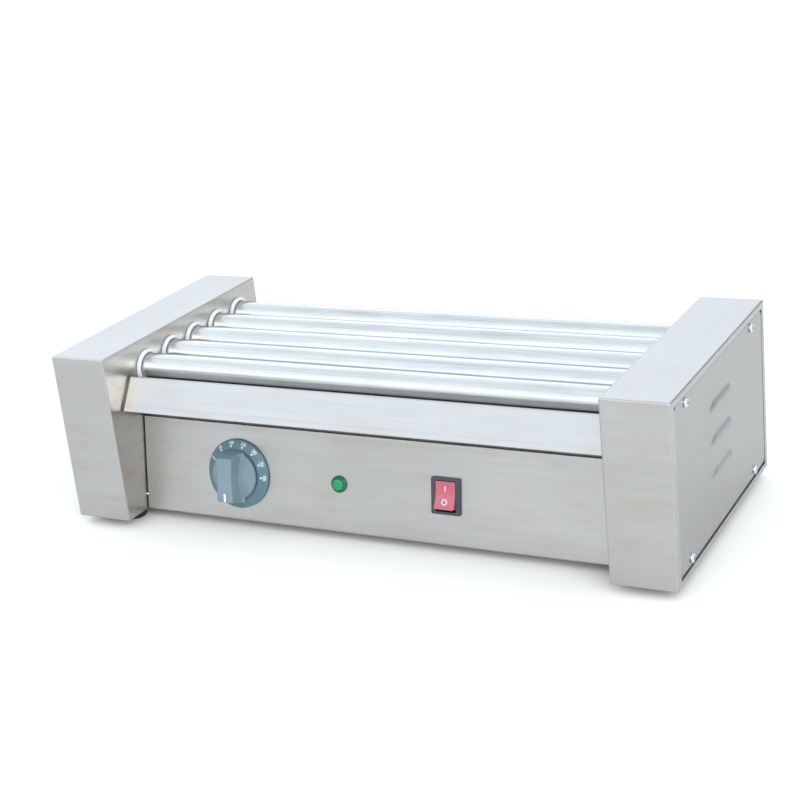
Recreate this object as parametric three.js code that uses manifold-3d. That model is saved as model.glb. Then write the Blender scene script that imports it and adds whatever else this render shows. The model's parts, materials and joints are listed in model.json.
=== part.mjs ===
// A five-roller hot dog grill: two sheet-metal end housings joined by a sloped
// control panel, a floor and a back panel, with a drip tray under the rollers.
// Millimetres. X runs along the rollers, Y from front to back, Z up, and the
// origin is on the counter, under the middle of the machine.
import * as THREE from 'three';
import { mergeVertices } from 'three/addons/utils/BufferGeometryUtils.js';
import Module from 'manifold-3d';

const wasm = await Module();
wasm.setup();

// ---------------------------------------------------------------- dimensions
const LENGTH = 560;
const DEPTH = 248;
const HEIGHT = 160;
const FOOT_HEIGHT = 8;
const HOUSING_WIDTH = 55;
const SHEET = 1;
const GAP = 0.3;
const CLEAR = 1;

const HALF_LENGTH = LENGTH / 2;
const HALF_DEPTH = DEPTH / 2;
const INNER_WALL = HALF_LENGTH - HOUSING_WIDTH;

const ROLLER_COUNT = 5;
const ROLLER_RADIUS = 12.7;
const ROLLER_WALL = 1.2;
const ROLLER_PITCH = 38.1;
const ROLLER_MIDDLE_Y = 12.8;
const ROLLER_Z = 132.8;
const SPIGOT_RADIUS = 8;
const ROLLER_BORE = 5.9;

const CHAIN_PITCH = ROLLER_PITCH / 4;
const SPROCKET_TEETH = 10;
const SPROCKET_PITCH_RADIUS = CHAIN_PITCH / (2 * Math.sin(Math.PI / SPROCKET_TEETH));
const CHAIN_X = 236;
const TOOTH_WIDTH = 5.2;
const HUB_RADIUS = 10;
const SHAFT_RADIUS = 3.5;
const MOTOR_Z = 62;

const PANEL_TILT = THREE.MathUtils.degToRad(10.5);
const PANEL_FOOT_Y = -95.9;
const PANEL_FOOT_Z = FOOT_HEIGHT + GAP;
const PANEL_TOP_Z = 93;
const PANEL_HALF_WIDTH = INNER_WALL - 1.2;
const PANEL_FLANGE = 16;
const END_FLANGE = 13;
const CONTROL_HEIGHT = 42.4;

const DIAL_X = -125;
const DIAL_RADIUS = 30.5;
const DIAL_THICKNESS = 5.8;
const KNOB_RADIUS = 22.2;
const KNOB_HEIGHT = 18.6;
const GRIP_HALF_WIDTH = 7.8;
const SPINDLE_RADIUS = 3;
const NECK_RADIUS = 4.7;

const LAMP_X = -25.5;
const LAMP_RADIUS = 7.3;
const LAMP_NECK = 6;

const SWITCH_X = 74.6;
const SWITCH_WIDTH = 26;
const SWITCH_LENGTH = 31;
const SWITCH_BODY = 10.6;
const ROCKER_HALF_WIDTH = 8.8;
const ROCKER_ANGLE = THREE.MathUtils.degToRad(10.5);

const DECK_Z = PANEL_TOP_Z + GAP;
const TRAY_Z = DECK_Z + SHEET + GAP;
const TRAY_HALF_WIDTH = INNER_WALL - 2.2;
const TRAY_BACK_Y = 101;
const TRAY_WALL_TOP = 111;
const TRAY_FRONT_FOOT_Y = -72;
const LIP_TOP = [-91.4, 133.6];
const TRAY_FRONT_BEND = [-77.5, 125.2];
const LIP_BOTTOM = [-108.8, 107.8];

const BACK_PANEL_Y = 113;
const BACK_PANEL_TOP = 118;
const BACK_FLANGE = 9;
const BACK_FLANGE_FOOT = 24;
const VENT_Z = [48, 78];
const VENT_PITCH = 11;
const VENT_HALF_WIDTH = 2;
const VENT_MIDDLE_X = 110;
const GLAND = [180, 38];
const GLAND_RADIUS = 8;
const GLAND_NUT_RADIUS = 11.5;
const CORD_BORE = 4;
const FLOOR_Z = PANEL_FOOT_Z + SHEET + GAP;

const COVER_Y = 116;
const COVER_BOTTOM = 17;
const COVER_TOP = 153.2;
const RIM_BOTTOM = 14;
const RIM_TOP = 153.8;
const SCREW_YS = [-90, 83.5];
const SCREW_ZS = [21.5, 148];
const SCREW_HOLE = 2.2;
const SCREW_SHANK = 1.8;
const SCREW_TIP_X = 268;
const TAB_DEPTH = 2.6;
const TAB_REACH = 8;
const LOUVRE_ZS = [121, 92.8, 64.6];
const LOUVRE_Y = [-33, 20];
const LOUVRE_HEIGHT = 7.4;
const LOUVRE_STAND = 2.3;
const LOUVRE_SKIN_TOP = 2.2;

const FOOT_X = 240;
const FOOT_Y = 95;
const FOOT_STUD = 2.3;
const FOOT_STUD_TOP = 12;
const WIRE_HOLE = [70, 40];
const WIRE_HOLE_RADIUS = 9;
const BUSH_HOLE = 14.9;
const BUSH_FLANGE = 16.25;
const BUSH_NECK = 14.3;
const ELEMENT_RADIUS = 4.25;
const ELEMENT_PIN_RADIUS = 2;
const BRACKET_X = 250.5;
const BRACKET_FOOT_X = 226.3;

// ------------------------------------------------------------------ outlines
function circle(radius, sides, centre = [0, 0]) {
  const points = [];
  for (let i = 0; i < sides; i += 1) {
    const angle = (i / sides) * 2 * Math.PI;
    points.push([centre[0] + radius * Math.cos(angle), centre[1] + radius * Math.sin(angle)]);
  }
  return points;
}

function rectangle(low, high) {
  return [[low[0], low[1]], [high[0], low[1]], [high[0], high[1]], [low[0], high[1]]];
}

// The section of a folded sheet: a path along one face, and the same path
// moved to its left by the thickness, with mitred corners.
function foldedSheet(path, thickness = SHEET) {
  const normals = [];
  for (let i = 0; i + 1 < path.length; i += 1) {
    const start = new THREE.Vector2(...path[i]);
    const along = new THREE.Vector2(...path[i + 1]).sub(start).normalize();
    normals.push(new THREE.Vector2(-along.y, along.x));
  }
  const moved = path.map((point, i) => {
    const before = normals[Math.max(i - 1, 0)];
    const after = normals[Math.min(i, normals.length - 1)];
    const mitre = before.clone().add(after);
    mitre.multiplyScalar(thickness / (1 + before.dot(after)));
    return [point[0] + mitre.x, point[1] + mitre.y];
  });
  return [...path, ...moved.reverse()];
}

// The outline of a loop stretched round equal wheels, given counter-clockwise.
function loopOutline(centres, radius, stepsPerWheel = 5) {
  const edges = centres.map((centre, i) => {
    const next = centres[(i + 1) % centres.length];
    return Math.atan2(next[1] - centre[1], next[0] - centre[0]) - Math.PI / 2;
  });
  const points = [];
  centres.forEach((centre, i) => {
    const start = edges[(i + centres.length - 1) % centres.length];
    let sweep = edges[i] - start;
    while (sweep < 0) {
      sweep += 2 * Math.PI;
    }
    for (let step = 0; step <= stepsPerWheel; step += 1) {
      const angle = start + (sweep * step) / stepsPerWheel;
      points.push([centre[0] + radius * Math.cos(angle), centre[1] + radius * Math.sin(angle)]);
    }
  });
  return points;
}

// Each tooth has a flat tip of a quarter of the pitch, and the next gap's bottom.
function sprocketOutline(centre) {
  const tipRadius = SPROCKET_PITCH_RADIUS + 1.9;
  const rootRadius = SPROCKET_PITCH_RADIUS - 3.2;
  const halfTip = 0.13;
  const points = [];
  for (let tooth = 0; tooth < SPROCKET_TEETH; tooth += 1) {
    for (const [turn, radius] of [[-halfTip, tipRadius], [halfTip, tipRadius], [0.5, rootRadius]]) {
      const angle = ((tooth + turn) / SPROCKET_TEETH) * 2 * Math.PI;
      points.push([centre[0] + radius * Math.cos(angle), centre[1] + radius * Math.sin(angle)]);
    }
  }
  return points;
}

// -------------------------------------------------------------------- solids
// Each axis takes outlines in the two directions across it: (y, z) for x,
// (x, z) for y and (x, y) for z.
const X = new THREE.Vector3(1, 0, 0);
const Y = new THREE.Vector3(0, 1, 0);
const Z = new THREE.Vector3(0, 0, 1);
const AXES = {
  x: { across: [Y, Z], along: X },
  y: { across: [X, Z], along: Y.clone().negate() },
  z: { across: [X, Y], along: Z },
};

function toSolid(geometry) {
  const bare = geometry.clone();
  bare.deleteAttribute('normal');
  bare.deleteAttribute('uv');
  const welded = mergeVertices(bare, 1e-3);
  const triangles = [];
  for (let i = 0; i < welded.index.count; i += 3) {
    const corners = [0, 1, 2].map((step) => welded.index.getX(i + step));
    if (new Set(corners).size === 3) {
      triangles.push(...corners);
    }
  }
  return new wasm.Manifold(new wasm.Mesh({
    numProp: 3,
    vertProperties: new Float32Array(welded.attributes.position.array),
    triVerts: new Uint32Array(triangles),
  }));
}

function toGeometry(solid) {
  const mesh = solid.getMesh();
  const geometry = new THREE.BufferGeometry();
  geometry.setAttribute('position', new THREE.BufferAttribute(new Float32Array(mesh.vertProperties), 3));
  geometry.setIndex(new THREE.BufferAttribute(new Uint32Array(mesh.triVerts), 1));
  return geometry;
}

function join(first, ...others) {
  return others.reduce((whole, piece) => whole.add(piece), first);
}

function cut(whole, ...tools) {
  return tools.reduce((rest, tool) => rest.subtract(tool), whole);
}

function prism(axis, outline, from, to, holes = []) {
  const shape = new THREE.Shape(outline.map(([a, b]) => new THREE.Vector2(a, b)));
  shape.holes = holes.map((hole) => new THREE.Path(hole.map(([a, b]) => new THREE.Vector2(a, b))));
  const geometry = new THREE.ExtrudeGeometry(shape, { depth: Math.abs(to - from), bevelEnabled: false });
  const { across, along } = AXES[axis];
  const start = along.x + along.y + along.z > 0 ? Math.min(from, to) : Math.max(from, to);
  const place = new THREE.Matrix4().makeBasis(across[0], across[1], along);
  place.setPosition(along.clone().multiply(along).multiplyScalar(start));
  geometry.applyMatrix4(place);
  return toSolid(geometry);
}

function block(x, y, z) {
  const low = [Math.min(...x), Math.min(...y)];
  const high = [Math.max(...x), Math.max(...y)];
  return prism('z', rectangle(low, high), z[0], z[1]);
}

function rod(axis, centre, radius, from, to, sides = 16) {
  return prism(axis, circle(radius, sides, centre), from, to);
}

// A turned piece along x (centre in y, z), y (centre in x, z) or z (centre in x, y).
// The profile is pairs of radius and station; it closes on itself, or starts and
// ends on the axis.
function turned(axis, centre, profile, sides = 16) {
  const points = profile.map(([radius, station]) => new THREE.Vector2(radius, station));
  if (profile[0][0] > 0) {
    points.push(points[0].clone());
  }
  const area = points.reduce((sum, point, i) => sum + point.cross(points[(i + 1) % points.length]), 0);
  if (area < 0) {
    points.reverse();
  }
  const geometry = new THREE.LatheGeometry(points, sides);
  const place = new THREE.Matrix4();
  if (axis === 'x') {
    place.makeBasis(Y, X, Z.clone().negate());
    place.setPosition(0, centre[0], centre[1]);
  } else if (axis === 'y') {
    place.setPosition(centre[0], 0, centre[1]);
  } else {
    place.makeBasis(X, Z, Y.clone().negate());
    place.setPosition(centre[0], centre[1], 0);
  }
  geometry.applyMatrix4(place);
  return toSolid(geometry);
}

// ----------------------------------------------------------------- materials
const FINISHES = {
  steel: { color: 0xbfc1c0, roughness: 0.35, metalness: 1 },
  rollerSteel: { color: 0xdfe2e4, roughness: 0.22, metalness: 1 },
  zinc: { color: 0xc9ced2, roughness: 0.3, metalness: 1 },
  chainSteel: { color: 0x6d6f70, roughness: 0.45, metalness: 1 },
  elementSteel: { color: 0x8d857c, roughness: 0.5, metalness: 1 },
  copper: { color: 0xb87350, roughness: 0.35, metalness: 1 },
  ptfe: { color: 0xf2f3f1, roughness: 0.5, metalness: 0 },
  rubber: { color: 0x1a1a1b, roughness: 0.8, metalness: 0 },
  knobPlastic: { color: 0x7f9ba6, roughness: 0.45, metalness: 0 },
  blackPlastic: { color: 0x22262a, roughness: 0.4, metalness: 0 },
  redPlastic: { color: 0xd2566a, roughness: 0.25, metalness: 0 },
  greenPlastic: { color: 0x2fae74, roughness: 0.15, metalness: 0 },
  paleCeramic: { color: 0xe6e0d2, roughness: 0.6, metalness: 0 },
};

const grill = new THREE.Group();

// Everything on the control panel is placed in the panel's own directions:
// x along it, y up its slope and z out of its face.
const controls = new THREE.Group();
controls.position.set(0, PANEL_FOOT_Y, PANEL_FOOT_Z);
controls.rotation.x = Math.PI / 2 - PANEL_TILT;
controls.updateMatrix();
grill.add(controls);

function add(name, solid, finish, parent = grill) {
  const mesh = new THREE.Mesh(toGeometry(solid), new THREE.MeshStandardMaterial(FINISHES[finish]));
  mesh.name = name;
  parent.add(mesh);
}

function onPanel(solid) {
  const geometry = toGeometry(solid);
  geometry.applyMatrix4(controls.matrix);
  return toSolid(geometry);
}

const rollerYs = [];
for (let i = 0; i < ROLLER_COUNT; i += 1) {
  rollerYs.push(ROLLER_MIDDLE_Y + (i - (ROLLER_COUNT - 1) / 2) * ROLLER_PITCH);
}

// ------------------------------------------------------- end housings, covers
// A folded box, open on its outer side inside a narrow rim. Four tabs behind
// the opening take the cover's screws.
function endHousing(side) {
  const outerFace = side * HALF_LENGTH;
  const shell = block([side * INNER_WALL, outerFace], [-HALF_DEPTH, HALF_DEPTH], [FOOT_HEIGHT, HEIGHT]);
  const inside = block(
    [side * (INNER_WALL + SHEET), outerFace - side * SHEET],
    [-HALF_DEPTH + SHEET, HALF_DEPTH - SHEET],
    [FOOT_HEIGHT + SHEET, HEIGHT - SHEET],
  );
  const mouth = block(
    [outerFace - side * 2 * SHEET, outerFace + side * SHEET],
    [-COVER_Y - GAP, COVER_Y + GAP],
    [RIM_BOTTOM, RIM_TOP],
  );
  let housing = cut(shell, inside, mouth);
  const tabX = [outerFace - side * TAB_DEPTH, outerFace - side * (TAB_DEPTH + SHEET)];
  for (const y of SCREW_YS) {
    const wallY = Math.sign(y) * (HALF_DEPTH - SHEET / 2);
    const tabY = y - Math.sign(y) * TAB_REACH;
    housing = join(
      housing,
      block(tabX, [wallY, tabY], [FOOT_HEIGHT + SHEET / 2, SCREW_ZS[0] + TAB_REACH]),
      block(tabX, [wallY, tabY], [SCREW_ZS[1] - TAB_REACH, HEIGHT - SHEET / 2]),
    );
    for (const z of SCREW_ZS) {
      housing = cut(housing, rod('x', [y, z], SCREW_HOLE, tabX[0] + side * CLEAR, tabX[1] - side * CLEAR, 8));
    }
  }
  const wallX = [side * (INNER_WALL - CLEAR), side * (INNER_WALL + SHEET + CLEAR)];
  for (const y of rollerYs) {
    housing = cut(housing, rod('x', [y, ROLLER_Z], BUSH_HOLE, ...wallX, 12));
  }
  housing = cut(housing, rod('x', WIRE_HOLE, WIRE_HOLE_RADIUS, ...wallX, 12));
  const bottomZ = [FOOT_HEIGHT - CLEAR, FOOT_HEIGHT + SHEET + CLEAR];
  for (const y of [-FOOT_Y, FOOT_Y]) {
    housing = cut(housing, rod('z', [side * FOOT_X, y], FOOT_STUD + 0.5, ...bottomZ, 8));
  }
  return housing;
}

// A flat plate flush in the housing's rim. Each louvre is a pressed hood that
// stands out of the plate and is open underneath.
function sideCover(side) {
  const outer = side * (HALF_LENGTH - GAP);
  const inner = outer - side * SHEET;
  const corner = 4;
  const outline = [
    [-COVER_Y + corner, COVER_BOTTOM], [COVER_Y - corner, COVER_BOTTOM], [COVER_Y, COVER_BOTTOM + corner],
    [COVER_Y, COVER_TOP - corner], [COVER_Y - corner, COVER_TOP],
    [-COVER_Y + corner, COVER_TOP], [-COVER_Y, COVER_TOP - corner], [-COVER_Y, COVER_BOTTOM + corner],
  ];
  let cover = prism('x', outline, inner, outer);
  for (const z of LOUVRE_ZS) {
    const top = z + LOUVRE_HEIGHT / 2;
    const bottom = z - LOUVRE_HEIGHT / 2;
    const stand = outer + side * LOUVRE_STAND;
    const hood = [[inner, top], [outer, top], [stand, bottom], [inner, bottom]];
    const hollow = [
      [inner - side, top - LOUVRE_SKIN_TOP], [inner, top - LOUVRE_SKIN_TOP],
      [stand - side, bottom - CLEAR], [inner - side, bottom - CLEAR],
    ];
    const [front, back] = LOUVRE_Y;
    cover = join(cover, prism('y', hood, front, back));
    cover = cut(cover, prism('y', hollow, front + SHEET, back - SHEET));
  }
  for (const y of SCREW_YS) {
    for (const z of SCREW_ZS) {
      cover = cut(cover, rod('x', [y, z], SCREW_HOLE, inner - side * CLEAR, outer + side * CLEAR, 8));
    }
  }
  return cover;
}

function coverScrew(side, y, z) {
  const seat = HALF_LENGTH - GAP + 0.1;
  const profile = [
    [0, SCREW_TIP_X], [SCREW_SHANK, SCREW_TIP_X], [SCREW_SHANK, seat], [4, seat],
    [4, seat + 1.2], [3, seat + 2.2], [0, seat + 2.2],
  ];
  return turned('x', [y, z], profile.map(([radius, x]) => [radius, side * x]), 12);
}

add('left_housing', endHousing(-1), 'steel');
add('right_housing', endHousing(1), 'steel');
add('left_side_cover', sideCover(-1), 'steel');
add('right_side_cover', sideCover(1), 'steel');
['lower', 'upper'].forEach((level, i) => {
  add(`right_cover_screw_${level}_front`, coverScrew(1, SCREW_YS[0], SCREW_ZS[i]), 'zinc');
  add(`right_cover_screw_${level}_rear`, coverScrew(1, SCREW_YS[1], SCREW_ZS[i]), 'zinc');
});

// ----------------------------------------------------- panels between housings
function controlPanel() {
  const rise = PANEL_TOP_Z - PANEL_FOOT_Z;
  const topY = PANEL_FOOT_Y + rise * Math.tan(PANEL_TILT);
  const face = [
    [PANEL_FOOT_Y + PANEL_FLANGE, PANEL_FOOT_Z], [PANEL_FOOT_Y, PANEL_FOOT_Z],
    [topY, PANEL_TOP_Z], [topY + PANEL_FLANGE, PANEL_TOP_Z],
  ];
  const inset = SHEET / 2;
  const flange = [
    [PANEL_FOOT_Y + inset, PANEL_FOOT_Z + inset], [PANEL_FOOT_Y + END_FLANGE, PANEL_FOOT_Z + inset],
    [topY + END_FLANGE, PANEL_TOP_Z - inset], [topY + inset, PANEL_TOP_Z - inset],
  ];
  const skin = [-4 * SHEET, 2 * SHEET];
  const halfSlot = SWITCH_LENGTH / 2 - 0.9;
  const panel = join(
    prism('x', foldedSheet(face.reverse()), -PANEL_HALF_WIDTH, PANEL_HALF_WIDTH),
    prism('x', flange, -PANEL_HALF_WIDTH, -PANEL_HALF_WIDTH + SHEET),
    prism('x', flange, PANEL_HALF_WIDTH - SHEET, PANEL_HALF_WIDTH),
  );
  return cut(
    panel,
    onPanel(rod('z', [DIAL_X, CONTROL_HEIGHT], NECK_RADIUS + 0.7, ...skin)),
    onPanel(rod('z', [LAMP_X, CONTROL_HEIGHT], LAMP_NECK + 0.4, ...skin)),
    onPanel(block(
      [SWITCH_X - SWITCH_BODY - 0.4, SWITCH_X + SWITCH_BODY + 0.4],
      [CONTROL_HEIGHT - halfSlot, CONTROL_HEIGHT + halfSlot],
      skin,
    )),
  );
}

function floorPlate() {
  const rearY = BACK_PANEL_Y - SHEET - GAP;
  const frontY = -91;
  const rearFlangeTop = 22;
  const section = foldedSheet([[frontY, FLOOR_Z], [rearY, FLOOR_Z], [rearY, rearFlangeTop]]);
  const halfWidth = PANEL_HALF_WIDTH - SHEET - GAP;
  let floor = prism('x', section, -halfWidth, halfWidth);
  const slotZ = [FLOOR_Z - CLEAR, FLOOR_Z + SHEET + CLEAR];
  for (let i = -3; i <= 3; i += 1) {
    floor = cut(floor, block([i * 50 - 18, i * 50 + 18], [20, 25], slotZ));
  }
  return floor;
}

function backPanel() {
  const frontY = BACK_PANEL_Y - BACK_FLANGE;
  const section = foldedSheet([
    [BACK_PANEL_Y, PANEL_FOOT_Z], [BACK_PANEL_Y, BACK_PANEL_TOP], [frontY, BACK_PANEL_TOP],
  ]);
  const skin = [BACK_PANEL_Y - SHEET - CLEAR, BACK_PANEL_Y + CLEAR];
  let panel = prism('x', section, -PANEL_HALF_WIDTH, PANEL_HALF_WIDTH);
  for (const side of [-1, 1]) {
    const flangeX = [side * (PANEL_HALF_WIDTH - SHEET), side * PANEL_HALF_WIDTH];
    const flangeZ = [BACK_FLANGE_FOOT, BACK_PANEL_TOP - SHEET / 2];
    panel = join(panel, block(flangeX, [frontY - SHEET, BACK_PANEL_Y - SHEET / 2], flangeZ));
    for (let slot = -2; slot <= 2; slot += 1) {
      const x = side * VENT_MIDDLE_X + slot * VENT_PITCH;
      panel = cut(panel, block([x - VENT_HALF_WIDTH, x + VENT_HALF_WIDTH], skin, VENT_Z));
    }
  }
  return cut(panel, rod('y', GLAND, GLAND_RADIUS + 0.4, ...skin));
}

// The shelf that the drip tray slides on, with a flange down each side.
function trayDeck() {
  const narrow = INNER_WALL - 2.7;
  const wide = INNER_WALL - GAP;
  const top = [DECK_Z, DECK_Z + SHEET];
  const flangeY = [-55, 98];
  const flangeZ = [DECK_Z - 12, DECK_Z + SHEET / 2];
  return join(
    block([-narrow, narrow], [-76, 101.5], top),
    block([-wide, wide], flangeY, top),
    block([-wide, -wide + SHEET], flangeY, flangeZ),
    block([wide - SHEET, wide], flangeY, flangeZ),
  );
}

// A shallow tray whose front rises steeply, then slopes out to a bend and folds
// forward into a lip, which is the handle that it is pulled out by.
function dripTray() {
  const floorTop = TRAY_Z + SHEET;
  const [bendY, bendZ] = LIP_TOP;
  const section = foldedSheet([
    LIP_BOTTOM, [bendY - 1, bendZ - 1], LIP_TOP, [bendY + 1.3, bendZ - 0.3], TRAY_FRONT_BEND,
    [TRAY_FRONT_FOOT_Y, floorTop], [TRAY_BACK_Y, floorTop], [TRAY_BACK_Y, TRAY_WALL_TOP],
  ], -SHEET);
  const half = SHEET / 2;
  const share = (TRAY_WALL_TOP - floorTop) / (TRAY_FRONT_BEND[1] - floorTop);
  const wallFrontY = THREE.MathUtils.lerp(TRAY_FRONT_FOOT_Y, TRAY_FRONT_BEND[0], share) - half;
  const wall = [
    [TRAY_FRONT_FOOT_Y - half, TRAY_Z + half], [TRAY_BACK_Y + half, TRAY_Z + half],
    [TRAY_BACK_Y + half, TRAY_WALL_TOP - GAP], [wallFrontY, TRAY_WALL_TOP - GAP],
  ];
  return join(
    prism('x', section, -TRAY_HALF_WIDTH, TRAY_HALF_WIDTH),
    prism('x', wall, -TRAY_HALF_WIDTH, -TRAY_HALF_WIDTH + SHEET),
    prism('x', wall, TRAY_HALF_WIDTH - SHEET, TRAY_HALF_WIDTH),
  );
}

add('control_panel', controlPanel(), 'steel');
add('floor_plate', floorPlate(), 'steel');
add('back_panel', backPanel(), 'steel');
add('tray_deck', trayDeck(), 'steel');
add('drip_tray', dripTray(), 'steel');

// A rubber foot whose stud passes through the bottom of its housing.
function foot(x, y) {
  const top = FOOT_HEIGHT - GAP;
  const profile = [
    [0, 0], [9, 0], [10, 1], [9.6, top], [FOOT_STUD, top], [FOOT_STUD, FOOT_STUD_TOP], [0, FOOT_STUD_TOP],
  ];
  return turned('z', [x, y], profile);
}

for (const [row, y] of [['front', -FOOT_Y], ['rear', FOOT_Y]]) {
  add(`foot_${row}_left`, foot(-FOOT_X, y), 'rubber');
  add(`foot_${row}_right`, foot(FOOT_X, y), 'rubber');
}

// ------------------------------------------------ rollers, bushes and heaters
// A thin tube with a plug at each end. The plug's spigot carries the sprocket
// on the right, and its bore lets the still heating element through.
function roller(y) {
  const tubeEnd = INNER_WALL + 4.7;
  const plug = 3.7;
  const leftEnd = -236;
  const rightEnd = 247;
  const lining = ROLLER_RADIUS - ROLLER_WALL;
  const profile = [
    [ROLLER_BORE, leftEnd], [SPIGOT_RADIUS, leftEnd],
    [SPIGOT_RADIUS, -tubeEnd], [ROLLER_RADIUS, -tubeEnd],
    [ROLLER_RADIUS, tubeEnd], [SPIGOT_RADIUS, tubeEnd],
    [SPIGOT_RADIUS, rightEnd], [ROLLER_BORE, rightEnd],
    [ROLLER_BORE, tubeEnd - plug], [lining, tubeEnd - plug],
    [lining, plug - tubeEnd], [ROLLER_BORE, plug - tubeEnd],
  ];
  return turned('x', [y, ROLLER_Z], profile);
}

// A ring with a flange that covers the hole in the housing's wall.
function bush(side, y) {
  const bore = ROLLER_RADIUS + 0.25;
  const face = INNER_WALL - 3.5;
  const seat = INNER_WALL - GAP;
  const end = INNER_WALL + 4.5;
  const profile = [
    [bore, face], [BUSH_FLANGE, face], [BUSH_FLANGE, seat],
    [BUSH_NECK, seat], [BUSH_NECK, end], [bore, end],
  ];
  return turned('x', [y, ROLLER_Z], profile.map(([radius, x]) => [radius, side * x]));
}

function heatingElement(y) {
  const pinEnd = 266;
  const sheathEnd = 258;
  const half = [
    [0, pinEnd], [ELEMENT_PIN_RADIUS, pinEnd], [ELEMENT_PIN_RADIUS, sheathEnd], [ELEMENT_RADIUS, sheathEnd],
  ];
  const mirrored = half.map(([radius, x]) => [radius, -x]).reverse();
  return turned('x', [y, ROLLER_Z], [...half, ...mirrored], 12);
}

// A strip that stands off the housing's wall and holds the heating elements' ends.
function heaterBracket(side) {
  const [front, back] = [-92, 112];
  const path = [
    [BRACKET_FOOT_X, front - 12], [BRACKET_FOOT_X, front], [BRACKET_X, front],
    [BRACKET_X, back], [BRACKET_FOOT_X, back], [BRACKET_FOOT_X, back + 8],
  ].map(([x, y]) => [side * x, y]);
  const halfHeight = 11;
  const strip = foldedSheet(path, -side * SHEET);
  let bracket = prism('z', strip, ROLLER_Z + 0.2 - halfHeight, ROLLER_Z + 0.2 + halfHeight);
  const skin = [side * (BRACKET_X - 2 * CLEAR), side * (BRACKET_X + SHEET + 2 * CLEAR)];
  for (const y of rollerYs) {
    bracket = cut(bracket, rod('x', [y, ROLLER_Z], ELEMENT_RADIUS + 0.5, ...skin, 8));
  }
  return bracket;
}

// A toothed wheel with a hub, on the roller's spigot or the motor's shaft.
function sprocket(centre, bore, hub) {
  return cut(
    join(
      prism('x', sprocketOutline(centre), CHAIN_X - TOOTH_WIDTH / 2, CHAIN_X + TOOTH_WIDTH / 2),
      rod('x', centre, HUB_RADIUS, hub[0], hub[1], 12),
    ),
    rod('x', centre, bore, hub[0] - CLEAR, hub[1] + CLEAR, 12),
  );
}

rollerYs.forEach((y, i) => {
  add(`roller_${i + 1}`, roller(y), 'rollerSteel');
  add(`bush_left_${i + 1}`, bush(-1, y), 'ptfe');
  add(`bush_right_${i + 1}`, bush(1, y), 'ptfe');
  add(`heating_element_${i + 1}`, heatingElement(y), 'elementSteel');
  const wheel = sprocket([y, ROLLER_Z], SPIGOT_RADIUS + 0.5, [230.2, 243]);
  add(`roller_sprocket_${i + 1}`, wheel, 'chainSteel');
});
add('heater_bracket_left', heaterBracket(-1), 'steel');
add('heater_bracket_right', heaterBracket(1), 'steel');

// ----------------------------------------------------------------- the drive
const motorCentre = [ROLLER_MIDDLE_Y, MOTOR_Z];

// The chain runs over all the rollers' sprockets and down round the motor's. It
// is one closed channel: link plates beside the teeth and a band outside them.
function driveChain() {
  const wheels = [[rollerYs[0], ROLLER_Z], motorCentre, [rollerYs[ROLLER_COUNT - 1], ROLLER_Z]];
  const loop = (radius) => loopOutline(wheels, radius);
  const halfPlate = 4.1;
  const innerRadius = SPROCKET_PITCH_RADIUS - halfPlate;
  const bandRadius = SPROCKET_PITCH_RADIUS + 2.8;
  const outerRadius = SPROCKET_PITCH_RADIUS + halfPlate;
  const halfWidth = TOOTH_WIDTH / 2 + GAP;
  const plate = 1.2;
  return join(
    prism('x', loop(outerRadius), CHAIN_X - halfWidth - plate, CHAIN_X - halfWidth, [loop(innerRadius)]),
    prism('x', loop(outerRadius), CHAIN_X - halfWidth, CHAIN_X + halfWidth, [loop(bandRadius)]),
    prism('x', loop(outerRadius), CHAIN_X + halfWidth, CHAIN_X + halfWidth + plate, [loop(innerRadius)]),
  );
}

function gearMotor() {
  const face = 242.7;
  const back = 266;
  const ears = [motorCentre[0] - 39, motorCentre[0] + 39];
  return cut(
    join(
      rod('x', motorCentre, 30, face, back, 24),
      rod('x', motorCentre, 22, back - CLEAR, back + 5),
      rod('x', motorCentre, 8, face - 1.5, face + CLEAR, 12),
      block([face, face + 1.5], ears, [MOTOR_Z - 6, MOTOR_Z + 6]),
    ),
    rod('x', motorCentre, SHAFT_RADIUS + 0.4, face - 2.7, face + 7.3, 12),
  );
}

// A strip that stands off the housing's wall and carries the gear motor.
function motorBracket() {
  const faceX = 241.4;
  const front = motorCentre[0] - 42.8;
  const back = motorCentre[0] + 42.8;
  const path = [
    [BRACKET_FOOT_X, front - 14], [BRACKET_FOOT_X, front], [faceX, front],
    [faceX, back], [BRACKET_FOOT_X, back], [BRACKET_FOOT_X, back + 14],
  ];
  const strip = prism('z', foldedSheet(path, -SHEET), MOTOR_Z - 28, MOTOR_Z + 8);
  return cut(strip, rod('x', motorCentre, 9, faceX - CLEAR, faceX + SHEET + CLEAR, 12));
}

add('drive_chain', driveChain(), 'chainSteel');
add('gear_motor', gearMotor(), 'zinc');
add('motor_bracket', motorBracket(), 'steel');
add('motor_shaft', rod('x', motorCentre, SHAFT_RADIUS, 230.2, 249.7, 12), 'zinc');
add('motor_sprocket', sprocket(motorCentre, SHAFT_RADIUS + GAP, [231.2, 240.9]), 'chainSteel');

// ------------------------------------------------------------------ controls
// Stations up the slope are measured from the middle of the controls.
const dialCentre = [DIAL_X, CONTROL_HEIGHT];
const lampCentre = [LAMP_X, CONTROL_HEIGHT];

function thermostat() {
  const [x, y] = dialCentre;
  const half = 18;
  return cut(
    join(
      block([x - half, x + half], [y - half, y + half], [-22, -SHEET - GAP]),
      rod('z', dialCentre, NECK_RADIUS, -SHEET - 1, DIAL_THICKNESS, 12),
    ),
    rod('z', dialCentre, SPINDLE_RADIUS + GAP, -14, DIAL_THICKNESS + CLEAR, 12),
  );
}

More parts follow.
